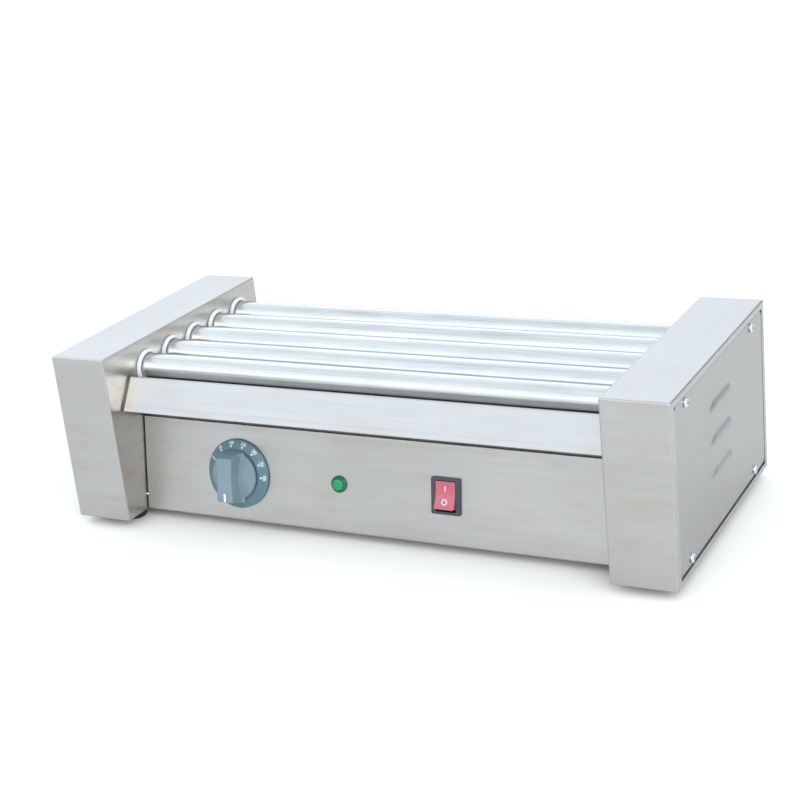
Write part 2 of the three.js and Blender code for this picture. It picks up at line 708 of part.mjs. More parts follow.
// A low domed disc with a bar across it, whose lower end is the pointer.
function knob() {
  const [x, y] = dialCentre;
  const base = DIAL_THICKNESS + 0.7;
  const top = DIAL_THICKNESS + KNOB_HEIGHT;
  const rim = KNOB_RADIUS - 0.6;
  const nose = -24;
  const grip = [
    [nose, base], [rim - 1, base], [rim - 1, base + 3.2], [19, top], [-20.6, top], [nose, base + 7],
  ].map(([s, n]) => [y + s, n]);
  const disc = [
    [0, base], [rim, base], [KNOB_RADIUS, base + 0.8], [KNOB_RADIUS - 1.2, base + 3.2], [0, base + 7.2],
  ];
  return cut(
    join(turned('z', dialCentre, disc, 24), prism('x', grip, x - GRIP_HALF_WIDTH, x + GRIP_HALF_WIDTH)),
    rod('z', dialCentre, SPINDLE_RADIUS + GAP, base - CLEAR, base + 11, 12),
  );
}

function pilotLamp() {
  return cut(
    join(
      rod('z', lampCentre, LAMP_RADIUS, GAP, 1.8),
      rod('z', lampCentre, LAMP_NECK, -22, 1),
    ),
    rod('z', lampCentre, LAMP_NECK - GAP, -1, 3),
  );
}

function pilotLens() {
  const dome = [[0, -0.7], [5.3, -0.7], [5.3, 2.2], [4.4, 3.6], [2.4, 4.5], [0, 4.8]];
  return turned('z', lampCentre, dome);
}

function switchHousing() {
  const [x, y] = [SWITCH_X, CONTROL_HEIGHT];
  const halfWidth = SWITCH_WIDTH / 2;
  const halfLength = SWITCH_LENGTH / 2;
  const halfWell = ROCKER_HALF_WIDTH + 0.4;
  return cut(
    join(
      block([x - halfWidth, x + halfWidth], [y - halfLength, y + halfLength], [GAP, 2.3]),
      block([x - SWITCH_BODY, x + SWITCH_BODY], [y - 14.2, y + 14.2], [-18, 1]),
    ),
    block([x - halfWell, x + halfWell], [y - 13.1, y + 13.1], [-10.5, 3]),
  );
}

// The rocker turns about a pivot just below the frame. It is drawn level and
// then tipped, top end in, which is the on position.
const ROCKER_PIVOT = -2;

function rocker() {
  const level = [
    [-10.6, -2.5], [-5, -5.5], [5, -5.5], [10.6, -2.5], [11.6, 7], [6, 5.5], [-6, 5.5], [-11.6, 7],
  ];
  const tipped = level.map(([s, n]) => [
    CONTROL_HEIGHT + s * Math.cos(ROCKER_ANGLE) + n * Math.sin(ROCKER_ANGLE),
    ROCKER_PIVOT - s * Math.sin(ROCKER_ANGLE) + n * Math.cos(ROCKER_ANGLE),
  ]);
  return prism('x', tipped, SWITCH_X - ROCKER_HALF_WIDTH, SWITCH_X + ROCKER_HALF_WIDTH);
}

// A ring that rises from a thin rim to a flat top under the knob.
function dialPlate() {
  const top = DIAL_THICKNESS;
  const profile = [[0, GAP], [DIAL_RADIUS, GAP], [DIAL_RADIUS, 1.9], [29.8, 2.5], [23, top], [0, top]];
  const bore = rod('z', dialCentre, NECK_RADIUS + 0.4, -CLEAR, top + CLEAR, 12);
  return cut(turned('z', dialCentre, profile, 32), bore);
}

add('thermostat', thermostat(), 'paleCeramic', controls);
add('thermostat_spindle', rod('z', dialCentre, SPINDLE_RADIUS, -13, 15.5, 12), 'zinc', controls);
add('dial_plate', dialPlate(), 'knobPlastic', controls);
add('knob', knob(), 'knobPlastic', controls);
add('pilot_lamp', pilotLamp(), 'blackPlastic', controls);
add('pilot_lens', pilotLens(), 'greenPlastic', controls);
add('switch_housing', switchHousing(), 'blackPlastic', controls);
add('switch_rocker', rocker(), 'redPlastic', controls);

// -------------------------------------------------------------- wiring pieces
// The thermostat's sensing bulb lies under the deck, at the end of a thin
// copper tube that leaves the thermostat's back.
function thermostatProbe() {
  const bulbZ = DECK_Z - 8;
  const route = [
    [0, -64, 50], [0, -52, 52], [10, -36, 60], [25, -18, 73], [40, -4, 82], [60, 0, bulbZ], [80, 0, bulbZ],
  ];
  const points = route.map(([x, y, z]) => new THREE.Vector3(DIAL_X + x, y, z));
  const path = new THREE.CatmullRomCurve3(points);
  const section = new THREE.Shape(circle(1, 6).map(([a, b]) => new THREE.Vector2(a, b)));
  const tube = new THREE.ExtrudeGeometry(section, { steps: 14, bevelEnabled: false, extrudePath: path });
  return join(toSolid(tube), rod('x', [0, bulbZ], 3, DIAL_X + 78, DIAL_X + 148, 8));
}

function cableGland() {
  const nut = (from, to) => rod('y', GLAND, GLAND_NUT_RADIUS, from, to, 6);
  const wall = BACK_PANEL_Y;
  const dome = [[0, 4.5], [9.6, 4.5], [9.6, 7], [6.6, 9.6], [0, 9.6]];
  return cut(
    join(
      nut(wall + GAP, wall + 5),
      nut(wall - SHEET - 6, wall - SHEET - GAP),
      rod('y', GLAND, GLAND_RADIUS, wall - 12, wall + 1, 12),
      turned('y', GLAND, dome.map(([radius, y]) => [radius, wall + y]), 12),
    ),
    rod('y', GLAND, CORD_BORE, wall - 14, wall + 12, 12),
  );
}

function terminalBlock() {
  const base = FLOOR_Z + SHEET + GAP;
  const top = base + 16;
  let body = block([120, 165], [56, 76], [base, top]);
  for (const x of [130, 142.5, 155]) {
    body = cut(
      body,
      block([x - 4, x + 4], [55, 63], [base + 5, top + CLEAR]),
      rod('z', [x, 70], 2.5, base + 8, top + CLEAR, 8),
    );
  }
  return body;
}

add('thermostat_probe', thermostatProbe(), 'copper');
add('cable_gland', cableGland(), 'blackPlastic');
add('terminal_block', terminalBlock(), 'paleCeramic');

export default grill;
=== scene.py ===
"""The looks of a five-roller hot dog grill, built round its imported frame.

Lengths are in metres and angles in radians unless a name says otherwise. X runs along
the rollers, Y from front to back and Z up. Pieces on the control panel are made in the
panel's own directions: x along it, y up its slope and z out of its face.
"""

import json
import math

import bmesh
import bpy
from mathutils import Matrix, Vector, noise

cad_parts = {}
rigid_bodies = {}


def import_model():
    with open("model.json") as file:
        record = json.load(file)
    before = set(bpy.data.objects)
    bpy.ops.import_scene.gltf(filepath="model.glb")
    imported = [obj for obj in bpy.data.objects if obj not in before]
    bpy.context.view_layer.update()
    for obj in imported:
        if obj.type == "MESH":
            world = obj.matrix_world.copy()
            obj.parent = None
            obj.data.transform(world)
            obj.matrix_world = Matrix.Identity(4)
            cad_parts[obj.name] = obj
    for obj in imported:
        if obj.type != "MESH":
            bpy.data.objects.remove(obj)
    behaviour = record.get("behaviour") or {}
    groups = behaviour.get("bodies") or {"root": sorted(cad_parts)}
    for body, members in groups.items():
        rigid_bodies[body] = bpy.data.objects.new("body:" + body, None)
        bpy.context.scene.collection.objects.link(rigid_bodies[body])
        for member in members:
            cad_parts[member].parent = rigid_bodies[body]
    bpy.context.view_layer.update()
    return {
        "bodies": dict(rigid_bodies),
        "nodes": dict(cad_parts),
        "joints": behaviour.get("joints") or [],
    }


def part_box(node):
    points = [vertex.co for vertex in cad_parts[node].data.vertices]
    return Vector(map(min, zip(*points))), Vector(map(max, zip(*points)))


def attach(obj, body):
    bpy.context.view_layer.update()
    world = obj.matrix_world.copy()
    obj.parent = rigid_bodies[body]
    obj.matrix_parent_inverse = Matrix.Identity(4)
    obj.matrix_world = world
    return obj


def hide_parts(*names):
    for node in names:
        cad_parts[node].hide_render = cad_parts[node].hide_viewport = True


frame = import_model()

# ------------------------------------------------------------------ dimensions
MM = 0.001
SHEET = 1 * MM
BEND = 1.7 * MM
HAIR = 0.15 * MM
SLIVER = 0.02 * MM
SAME_PLACE = 1e-7
SIDES = {"left": -1, "right": 1}

ALONG_X = Matrix(((0, 0, 1, 0), (1, 0, 0, 0), (0, 1, 0, 0), (0, 0, 0, 1)))


def joint(name):
    """The record's row for a joint."""
    return next(row for row in frame["joints"] if row["name"] == name)


KNOB_PIVOT = Vector(joint("knob_turn")["pos_m"])
OUT = -Vector(joint("knob_turn")["axis"])
SLOPE = OUT.cross(Vector((1, 0, 0)))
PANEL_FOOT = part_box("control_panel")[0]
PANEL = Matrix((
    (1, SLOPE.x, OUT.x, 0),
    (0, SLOPE.y, OUT.y, PANEL_FOOT.y),
    (0, SLOPE.z, OUT.z, PANEL_FOOT.z),
    (0, 0, 0, 1),
))


def panel_box(node):
    """A node's lowest and highest corners in the panel's own directions."""
    back = PANEL.inverted()
    points = [back @ vertex.co for vertex in frame["nodes"][node].data.vertices]
    low = Vector([min(point[axis] for point in points) for axis in range(3)])
    high = Vector([max(point[axis] for point in points) for axis in range(3)])
    return low, high


def middle(box):
    """The middle of a box given by its two corners."""
    return (box[0] + box[1]) / 2


ROLLERS = sorted(name for name in frame["bodies"] if name.startswith("roller_"))
ROLLER_CENTRES = [Vector(joint(f"{name}_spin")["pos_m"]) for name in ROLLERS]
CONTROL_HEIGHT = (KNOB_PIVOT - PANEL_FOOT).dot(SLOPE)


# ------------------------------------------------------------------- materials
# The Mix node has sockets for each kind of data, told apart by number: A, B and result.
MIX_VALUES = (2, 3, 0)
MIX_COLOURS = (6, 7, 2)


def add_node(tree, kind, links=(), **settings):
    """A new node; links pairs each socket's name or number with a value or a socket."""
    made = tree.nodes.new(kind)
    for key, value in settings.items():
        setattr(made, key, value)
    for socket, value in links:
        if isinstance(value, bpy.types.NodeSocket):
            tree.links.new(value, made.inputs[socket])
        else:
            made.inputs[socket].default_value = value
    return made


class Surface:
    """A Principled material and short ways to add the nodes that vary it."""

    def __init__(self, name, roughness=0.5, metallic=0.0, **sockets):
        self.material = bpy.data.materials.new(name)
        self.material.use_nodes = True
        self.tree = self.material.node_tree
        self.shader = self.tree.nodes["Principled BSDF"]
        self.shader.inputs["Roughness"].default_value = roughness
        self.shader.inputs["Metallic"].default_value = metallic
        for socket, value in sockets.items():
            self.shader.inputs[socket.replace("_", " ")].default_value = value
        self.place = self.add("ShaderNodeTexCoord").outputs["Object"]

    def add(self, kind, links=(), **settings):
        """A new node in the material."""
        return add_node(self.tree, kind, links, **settings)

    def noise(self, per_metre, detail=3.0, seed=0.0):
        """Noise with its own number of features per metre along each axis."""
        shift = (seed, seed * 1.7, seed * 2.3)
        links = [("Vector", self.place), ("Scale", per_metre), ("Location", shift)]
        mapping = self.add("ShaderNodeMapping", links)
        links = [("Vector", mapping.outputs[0]), ("Scale", 1.0), ("Detail", detail)]
        return self.add("ShaderNodeTexNoise", links).outputs["Fac"]

    def between(self, value, low, high, start=0.3, end=0.7):
        """A value that goes from low to high as another goes from start to end."""
        links = [
            ("Value", value), ("From Min", start), ("From Max", end), ("To Min", low),
            ("To Max", high),
        ]
        return self.add("ShaderNodeMapRange", links, clamp=True).outputs[0]

    def mixed(self, factor, first, second):
        """One colour turning into another."""
        a, b, result = MIX_COLOURS
        links = [("Factor", factor), (a, first), (b, second)]
        return self.add("ShaderNodeMix", links, data_type="RGBA").outputs[result]

    def sum(self, first, second, share=0.5):
        """Two values blended, the second with the share given."""
        a, b, result = MIX_VALUES
        links = [("Factor", share), (a, first), (b, second)]
        return self.add("ShaderNodeMix", links, data_type="FLOAT").outputs[result]

    def set(self, socket, value):
        """Links a value to one of the shader's sockets."""
        self.tree.links.new(value, self.shader.inputs[socket])

    def bump(self, height, depth, strength=0.5):
        """Raises the surface by up to a depth where height is 1."""
        links = [("Strength", strength), ("Distance", depth), ("Height", height)]
        self.set("Normal", self.add("ShaderNodeBump", links).outputs[0])


def colour(red, green, blue):
    """A colour given as 0 to 255 on screen, in the linear values that nodes take."""
    def linear(part):
        part /= 255
        return part / 12.92 if part <= 0.04045 else ((part + 0.055) / 1.055) ** 2.4
    return (linear(red), linear(green), linear(blue), 1.0)


TONE_SPREAD = (0.25, 0.75)
HAIRLINE_SPREAD = (0.74, 0.8)
HAIRLINE_SHARE = 0.3
STAIN_AND_GLINT_SPREAD = (0.5, 0.75)
GRAIN_DEPTH = 0.004 * MM


def brushed_steel(
        name, grain, dark, light, roughness, direction=None, stain_and_glint=None, share=0.0,
        cloudiness=0.4):
    """Steel with faint streaks along its grain, soft clouds, hairlines and patches of a second
    colour: real stains, and on the inner-wall steel a painted reflection.
    """
    made = Surface(name, metallic=1.0, Anisotropic=0.4)

    def drawn_out(along, across, detail, seed=0.0):
        """Noise with fewer features per metre along the grain than across it."""
        return made.noise([along if part else across for part in grain], detail, seed)

    fine = drawn_out(18, 1300, 3)
    broad = drawn_out(3, 240, 2, 3.1)
    cloud = made.noise((7, 7, 7), 2, 7.7)
    hairline = drawn_out(6, 700, 1, 12.9)
    tone = made.sum(made.sum(fine, broad, 0.4), cloud, cloudiness)
    hairline = made.between(hairline, 0.0, 1.0, *HAIRLINE_SPREAD)
    base = made.mixed(made.between(tone, 0.0, 1.0, *TONE_SPREAD), dark, light)
    base = made.mixed(made.between(hairline, 0.0, HAIRLINE_SHARE, 0.0, 1.0), base, light)
    # Patches of a second colour: real stains on most steels, a painted reflection of the roller
    # ends on the inner-wall steel.
    if stain_and_glint:
        stain_and_glint_patch = drawn_out(22, 60, 5, 21.3)
        base = made.mixed(made.between(stain_and_glint_patch, 0.0, share, *STAIN_AND_GLINT_SPREAD), base, stain_and_glint)
    made.set("Base Color", base)
    made.set("Roughness", made.between(tone, *roughness, *TONE_SPREAD))
    made.bump(made.sum(fine, hairline, 0.2), GRAIN_DEPTH, 0.3)
    if direction:
        tangent = made.add("ShaderNodeCombineXYZ", list(enumerate(direction)))
        made.set("Tangent", tangent.outputs[0])
    return made.material


def moulded(name, dark, light, roughness, grain=1800, depth=0.02 * MM, **sockets):
    """Moulded plastic, rubber or ceramic: a fine texture over a faint mottle."""
    made = Surface(name, **sockets)
    fine = made.noise((grain, grain, grain), 2)
    cloud = made.noise((45, 45, 45), 3, seed=5.3)
    tone = made.sum(fine, cloud, 0.6)
    made.set("Base Color", made.mixed(made.between(tone, 0.0, 1.0), dark, light))
    made.set("Roughness", made.between(cloud, *roughness))
    made.bump(fine, depth, 0.4)
    return made.material


STEEL_DARK = colour(162, 162, 161)
STEEL_LIGHT = colour(183, 182, 181)
STEEL_ROUGHNESS = (0.3, 0.38)
STEEL_STAIN = colour(168, 158, 144)
STEEL_STAIN_SHARE = 0.45

MATERIALS = {
    "steel_x": brushed_steel(
        "steel_x", (1, 0, 0), STEEL_DARK, STEEL_LIGHT, STEEL_ROUGHNESS,
        direction=(1, 0, 0), stain_and_glint=STEEL_STAIN, share=STEEL_STAIN_SHARE),
    "steel_y": brushed_steel(
        "steel_y", (0, 1, 0), STEEL_DARK, STEEL_LIGHT, STEEL_ROUGHNESS,
        direction=(0, 1, 0), stain_and_glint=STEEL_STAIN, share=0.5 * STEEL_STAIN_SHARE),
    "roller_steel": brushed_steel(
        "roller_steel", (1, 0, 0), colour(166, 168, 169), colour(210, 211, 210), (0.16, 0.28),
        direction=(1, 0, 0), stain_and_glint=colour(170, 165, 158), share=0.3, cloudiness=0.1),
    # Inner-wall steel: its paler base and strong golden patches are a painted reflection of the
    # warm roller ends.
    "glint_painted_steel": brushed_steel(
        "glint_painted_steel", (0, 1, 0), colour(172, 169, 164), colour(200, 197, 191), (0.3, 0.4),
        direction=(0, 1, 0), stain_and_glint=colour(182, 162, 136), share=0.8),
    "cover_steel": brushed_steel(
        "cover_steel", (0, 1, 0), colour(154, 154, 154), colour(170, 170, 170), (0.32, 0.4),
        direction=(0, 1, 0), stain_and_glint=STEEL_STAIN, share=0.2),
    "zinc": brushed_steel(
        "zinc", (0, 0, 0), colour(196, 203, 207), colour(222, 228, 231), (0.18, 0.3)),
    "chain": brushed_steel(
        "chain", (0, 0, 0), colour(96, 95, 92), colour(132, 131, 128), (0.32, 0.5)),
    "element": brushed_steel(
        "element", (0, 0, 0), colour(112, 104, 94), colour(150, 142, 130), (0.42, 0.6)),
    "copper": brushed_steel(
        "copper", (0, 0, 0), colour(168, 98, 66), colour(204, 132, 94), (0.25, 0.4)),
    "ptfe": moulded(
        "ptfe", colour(188, 193, 194), colour(208, 212, 213), (0.35, 0.5),
        Subsurface_Weight=0.12, Subsurface_Scale=2 * MM),
    "rubber": moulded(
        "rubber", colour(18, 18, 19), colour(38, 38, 39), (0.7, 0.9), grain=900,
        depth=0.06 * MM),
    "knob_plastic": moulded(
        "knob_plastic", colour(96, 116, 124), colour(108, 128, 136), (0.36, 0.5)),
    "dial_plastic": moulded(
        "dial_plastic", colour(64, 90, 100), colour(86, 112, 120), (0.4, 0.55), grain=900),
    "black_plastic": moulded(
        "black_plastic", colour(36, 44, 52), colour(52, 61, 70), (0.3, 0.44)),
    "lamp_rim": moulded(
        "lamp_rim", colour(14, 74, 48), colour(22, 96, 62), (0.2, 0.3)),
    "red_plastic": moulded(
        "red_plastic", colour(156, 66, 80), colour(174, 84, 98), (0.16, 0.26),
        Subsurface_Weight=0.2, Subsurface_Scale=2 * MM, Coat_Weight=0.5),
    "green_lens": moulded(
        "green_lens", colour(8, 132, 78), colour(24, 160, 98), (0.06, 0.14),
        Transmission_Weight=0.35, IOR=1.49),
    "ceramic": moulded(
        "ceramic", colour(214, 208, 192), colour(234, 228, 214), (0.5, 0.65)),
    "white_print": moulded(
        "white_print", colour(206, 220, 226), colour(228, 238, 242), (0.45, 0.6)),
}


# -------------------------------------------------------------------- outlines
def circle(radius, steps, centre):
    """Points round a circle."""
    x, y = centre
    turns = [2 * math.pi * step / steps for step in range(steps)]
    return [(x + radius * math.cos(turn), y + radius * math.sin(turn)) for turn in turns]


def rectangle(low, high, corner):
    """A rectangle with round corners."""
    places = [(low[0], low[1]), (high[0], low[1]), (high[0], high[1]), (low[0], high[1])]
    return rounded([(x, y, corner) for x, y in places])


def rounded(points, closed=True, steps=5):
    """A line of (x, y, radius) whose corners are turned into arcs of that radius."""
    line = []
    for i, (x, y, radius) in enumerate(points):
        corner = Vector((x, y))
        at_end = not closed and i in (0, len(points) - 1)
        if radius <= 0 or at_end:
            line.append((x, y))
            continue
        before = (Vector(points[i - 1][:2]) - corner).normalized()
        after = (Vector(points[(i + 1) % len(points)][:2]) - corner).normalized()
        half = before.angle(after) / 2
        centre = corner + (before + after).normalized() * radius / math.sin(half)
        start = corner + before * radius / math.tan(half) - centre
        end = corner + after * radius / math.tan(half) - centre
        sweep = start.angle_signed(end)
        for step in range(steps + 1):
            turn = Matrix.Rotation(-sweep * step / steps, 2)
            line.append(tuple(centre + turn @ start))
    return line


def sheet_outline(face, thickness):
    """The outline of a sheet: a line and its copy moved to the left by the thickness."""
    normals = []
    for (x0, y0), (x1, y1) in zip(face, face[1:]):
        normals.append(Vector((y0 - y1, x1 - x0)).normalized())
    other = []
    for i, point in enumerate(face):
        before, after = normals[max(i - 1, 0)], normals[min(i, len(normals) - 1)]
        step = (before + after) * thickness / (1 + before.dot(after))
        other.append((point[0] + step.x, point[1] + step.y))
    return face + other[::-1]


# ---------------------------------------------------------------------- solids
def prism(outline, low, high, edge=0.0, steps=2):
    """An outline pulled along z, with both rims rounded by the edge's width."""
    solid = bmesh.new()
    face = solid.faces.new([solid.verts.new((x, y, low)) for x, y in outline])
    pulled = bmesh.ops.extrude_face_region(solid, geom=[face])["geom"]
    top = [item for item in pulled if isinstance(item, bmesh.types.BMVert)]
    bmesh.ops.translate(solid, verts=top, vec=(0, 0, high - low))
    bmesh.ops.recalc_face_normals(solid, faces=solid.faces)
    if edge:
        rims = [e for e in solid.edges if abs(e.verts[0].co.z - e.verts[1].co.z) < SAME_PLACE]
        bevel(solid, rims, edge, steps)
    return solid


def bevel(solid, edges, width, steps):
    """Rounds the edges given."""
    bmesh.ops.bevel(
        solid, geom=edges, offset=width, offset_type="OFFSET", segments=steps,
        profile=0.5, affect="EDGES", clamp_overlap=True,
    )


def block(low, high, edge=0.0, steps=3):
    """A box between two corners, with all its edges rounded."""
    low, high = Vector(map(min, low, high)), Vector(map(max, low, high))
    solid = bmesh.new()
    bmesh.ops.create_cube(solid, size=1)
    size = high - low
    solid.transform(Matrix.Translation((low + high) / 2) @ Matrix.Diagonal((*size, 1)))
    if edge:
        bevel(solid, solid.edges[:], edge, steps)
    return solid


def turned(profile, steps=64):
    """A solid turned about z from a profile of (radius, height) pairs.

    The profile closes on itself, or starts and ends on the axis.
    """
    solid = bmesh.new()
    line = [solid.verts.new((radius, 0, height)) for radius, height in profile]
    pairs = list(zip(line, line[1:]))
    if profile[0][0] > 0:
        pairs.append((line[-1], line[0]))
    edges = [solid.edges.new(pair) for pair in pairs]
    bmesh.ops.spin(
        solid, geom=line + edges, cent=(0, 0, 0), axis=(0, 0, 1),
        angle=2 * math.pi, steps=steps, use_merge=True,
    )
    bmesh.ops.remove_doubles(solid, verts=solid.verts, dist=SAME_PLACE)
    bmesh.ops.recalc_face_normals(solid, faces=solid.faces)
    return solid


def lofted(rings):
    """A closed solid through rings of points that all have the same number of points."""
    solid = bmesh.new()
    rows = [[solid.verts.new(point) for point in ring] for ring in rings]
    for row, following in zip(rows, rows[1:]):
        for i, vertex in enumerate(row):
            j = (i + 1) % len(row)
            solid.faces.new((vertex, row[j], following[j], following[i]))
    solid.faces.new(rows[0][::-1])
    solid.faces.new(rows[-1])
    bmesh.ops.recalc_face_normals(solid, faces=solid.faces)
    return solid


def moved(solid, matrix):
    """The solid after a matrix; one that mirrors also turns its faces out again."""
    solid.transform(matrix)
    bmesh.ops.recalc_face_normals(solid, faces=solid.faces)
    return solid


def meshed(name, solid):
    """A mesh made from a solid. Uses it up."""
    mesh = bpy.data.meshes.new(name)
    solid.to_mesh(mesh)
    solid.free()
    return mesh


def added(name, data):
    """A new object in the scene that holds a mesh, a curve, a lamp or a camera."""
    made = bpy.data.objects.new(name, data)
    bpy.context.scene.collection.objects.link(made)
    return made


def merged(solids):
    """Several solids in one, as they lie. Uses them up."""
    whole = bmesh.new()
    for solid in solids:
        mesh = meshed("part", solid)
        whole.from_mesh(mesh)
        bpy.data.meshes.remove(mesh)
    return whole


def temporary(solid):
    """An object that holds a solid while modifiers work on it."""
    return added("temporary", meshed("temporary", solid))


def evaluated(holder, *others):
    """The solid that an object's modifiers make; the objects are then removed."""
    bpy.context.view_layer.update()
    graph = bpy.context.evaluated_depsgraph_get()
    mesh = bpy.data.meshes.new_from_object(holder.evaluated_get(graph))
    solid = bmesh.new()
    solid.from_mesh(mesh)
    bpy.data.meshes.remove(mesh)
    for each in (holder, *others):
        bpy.data.objects.remove(each)
    return solid


def combined(operation, whole, tools):
    """The whole after a boolean with each tool in turn. Uses all of them up."""
    holder = temporary(whole)
    held = [temporary(tool) for tool in tools]
    for tool in held:
        modifier = holder.modifiers.new("combine", "BOOLEAN")
        modifier.operation = operation
        modifier.solver = "EXACT"
        modifier.object = tool
    return evaluated(holder, *held)


def cut(whole, *tools):
    """The whole without the tools."""
    return combined("DIFFERENCE", whole, tools)


def joined(whole, *tools):
    """The whole and the tools as one solid."""
    return combined("UNION", whole, tools)


def rod(radius, low, high, centre, steps=48):
    """A round bar along z."""
    return prism(circle(radius, steps, centre), low, high)


# ---------------------------------------------------------------------- pieces
def piece(name, solid, finish, body, stands_for=(), matrix=None, crease=32):
    """Makes a solid a shown piece: its finish, its smooth faces and the body it rides on."""
    if matrix:
        moved(solid, matrix)
    mesh = meshed(name, solid)
    mesh.shade_smooth()
    mesh.set_sharp_from_angle(angle=math.radians(crease))
    made = added(name, mesh)
    flatten = made.modifiers.new("flat_faces", "WEIGHTED_NORMAL")
    flatten.keep_sharp = True
    if finish == "steel":
        paint_sheet(mesh)
        finish = "steel_x"
    else:
        mesh.materials.append(MATERIALS[finish])
    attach(made, body)
    if stands_for:
        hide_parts(*stands_for)
    return made


def paint_sheet(mesh):
    """Grain along x on faces that turn to the front or back, and along y elsewhere."""
    mesh.materials.append(MATERIALS["steel_x"])
    mesh.materials.append(MATERIALS["steel_y"])
    for face in mesh.polygons:
        face.material_index = 0 if abs(face.normal.y) > 0.5 else 1


# ------------------------------------------------------- end housings, covers
COVER_BOXES = {name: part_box(f"{name}_side_cover") for name in SIDES}
RIM_SIDE_GAP = 0.3 * MM
RIM_TOP_GAP = 0.6 * MM
RIM_BOTTOM_GAP = 3 * MM
BUSH_HOLE = 14.9 * MM
WIRE_HOLE = (70 * MM, 40 * MM, 9 * MM)
COVER_CORNER = 4 * MM
COVER_CORNER_ROUND = 1.2 * MM
LOUVRE_ZS = (121 * MM, 92.8 * MM, 64.6 * MM)
LOUVRE_FRONT = -33 * MM
LOUVRE_REAR = 20 * MM
LOUVRE_HEIGHT = 7.4 * MM
LOUVRE_STAND = 2.2 * MM
LOUVRE_NOSE = 14 * MM
LOUVRE_BLUNT_END = 1.6 * MM
LOUVRE_SKIN = 1.15 * MM
LOUVRE_SLACK = 0.1 * MM
SCREW_BOXES = {
    (level, end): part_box(f"right_cover_screw_{level}_{end}")
    for level in ("lower", "upper") for end in ("front", "rear")
}
SCREW_HEAD = 2.2 * MM
SCREW_HEAD_RADIUS = 4 * MM
SCREW_SHANK_RADIUS = 1.8 * MM
SCREW_HOLE_RADIUS = 2.2 * MM
SCREW_LENGTH = 11.5 * MM
TAB_WIDTH = 35 * MM
TAB_HEIGHT = 18.75 * MM
TAB_DEPTH = 2.6 * MM
LEDGE_DEPTH = 1.5 * MM
LEDGE_RISE = 2 * MM


def housing(name):
    """A folded box with round bends, open on its outer side inside a narrow rim.

    Its screw tabs and a ledge stand behind the cover. Its inner wall, next to the rollers, is
    painted paler with golden patches, a painted reflection of the roller ends.
    """
    side = SIDES[name]
    low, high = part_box(f"{name}_housing")
    outer = high.x if side > 0 else low.x
    inner = low.x if side > 0 else high.x
    sheet = Vector((SHEET, SHEET, SHEET))
    cavity = block(low + sheet, high - sheet, BEND - SHEET)
    cover_low, cover_high = COVER_BOXES[name]
    mouth = block(
        (outer - side * 2 * SHEET, cover_low.y - RIM_SIDE_GAP, cover_low.z - RIM_BOTTOM_GAP),
        (outer + side * SHEET, cover_high.y + RIM_SIDE_GAP, cover_high.z + RIM_TOP_GAP),
    )
    through = (inner - 5 * SHEET, inner + 5 * SHEET)
    holes = [rod(BUSH_HOLE, *through, (c.y, c.z)) for c in ROLLER_CENTRES]
    y, z, radius = WIRE_HOLE
    holes.append(rod(radius, *through, (y, z)))
    shell = cut(block(low, high, BEND, 4), cavity, mouth, moved(merged(holes), ALONG_X))
    backing = []
    tab_x = outer - side * TAB_DEPTH
    half = SHEET / 2
    for level, end in SCREW_BOXES:
        y, y_in = (high.y - half, -1) if end == "rear" else (low.y + half, 1)
        z, z_in = (high.z - half, -1) if level == "upper" else (low.z + half, 1)
        backing.append(block(
            (tab_x, y, z), (tab_x - side * SHEET, y + y_in * TAB_WIDTH, z + z_in * TAB_HEIGHT),
        ))
    ledge_x = outer - side * LEDGE_DEPTH
    backing.append(block(
        (ledge_x, low.y + half, low.z + half),
        (ledge_x - side * SHEET, high.y - half, cover_low.z + LEDGE_RISE),
    ))
    shell = joined(shell, merged(backing))
    made = piece(f"{name}_housing_shell", shell, "steel", "frame", [f"{name}_housing"])
    # Faces of the inner wall get the steel whose paler base and golden patches are a painted
    # reflection.
    made.data.materials.append(MATERIALS["glint_painted_steel"])
    for face in made.data.polygons:
        if face.normal.x * side < -0.9:
            face.material_index = 2


def louvre_rise(y):
    """How far a louvre has risen at a place along it, from 0 at its tip to 1."""
    start = min(max((y - LOUVRE_FRONT) / LOUVRE_NOSE, 0), 1)
    end = min(max((LOUVRE_REAR - y) / LOUVRE_BLUNT_END, 0), 1)
    return math.sin(start * math.pi / 2) ** 0.8 * math.sin(end * math.pi / 2) ** 0.5


def louvre_hood(outer, side, centre_z, stations=28, curve=8):
    """A pressed hood: a curved shell that stands out towards its open lower edge.

    It runs through a ring of points at each station, a curved skin with a lining behind.
    """
    bottom = centre_z - LOUVRE_HEIGHT / 2
    rings = []
    for station in range(stations + 1):
        y = LOUVRE_FRONT + (LOUVRE_REAR - LOUVRE_FRONT) * station / stations
        rise = max(louvre_rise(y), 0.02)
        top = bottom + LOUVRE_HEIGHT * (0.12 + 0.88 * rise)
        skin, lining = [], []
        for step in range(curve + 1):
            share = step / curve
            stand = LOUVRE_STAND * rise * math.sin(share * math.pi / 2) ** 1.15
            z = top + (bottom - top) * share
            skin.append((outer + side * stand, y, z))
            lining.append((outer + side * (stand - LOUVRE_SKIN), y, z))
        rings.append(skin + lining[::-1])
    return lofted(rings)


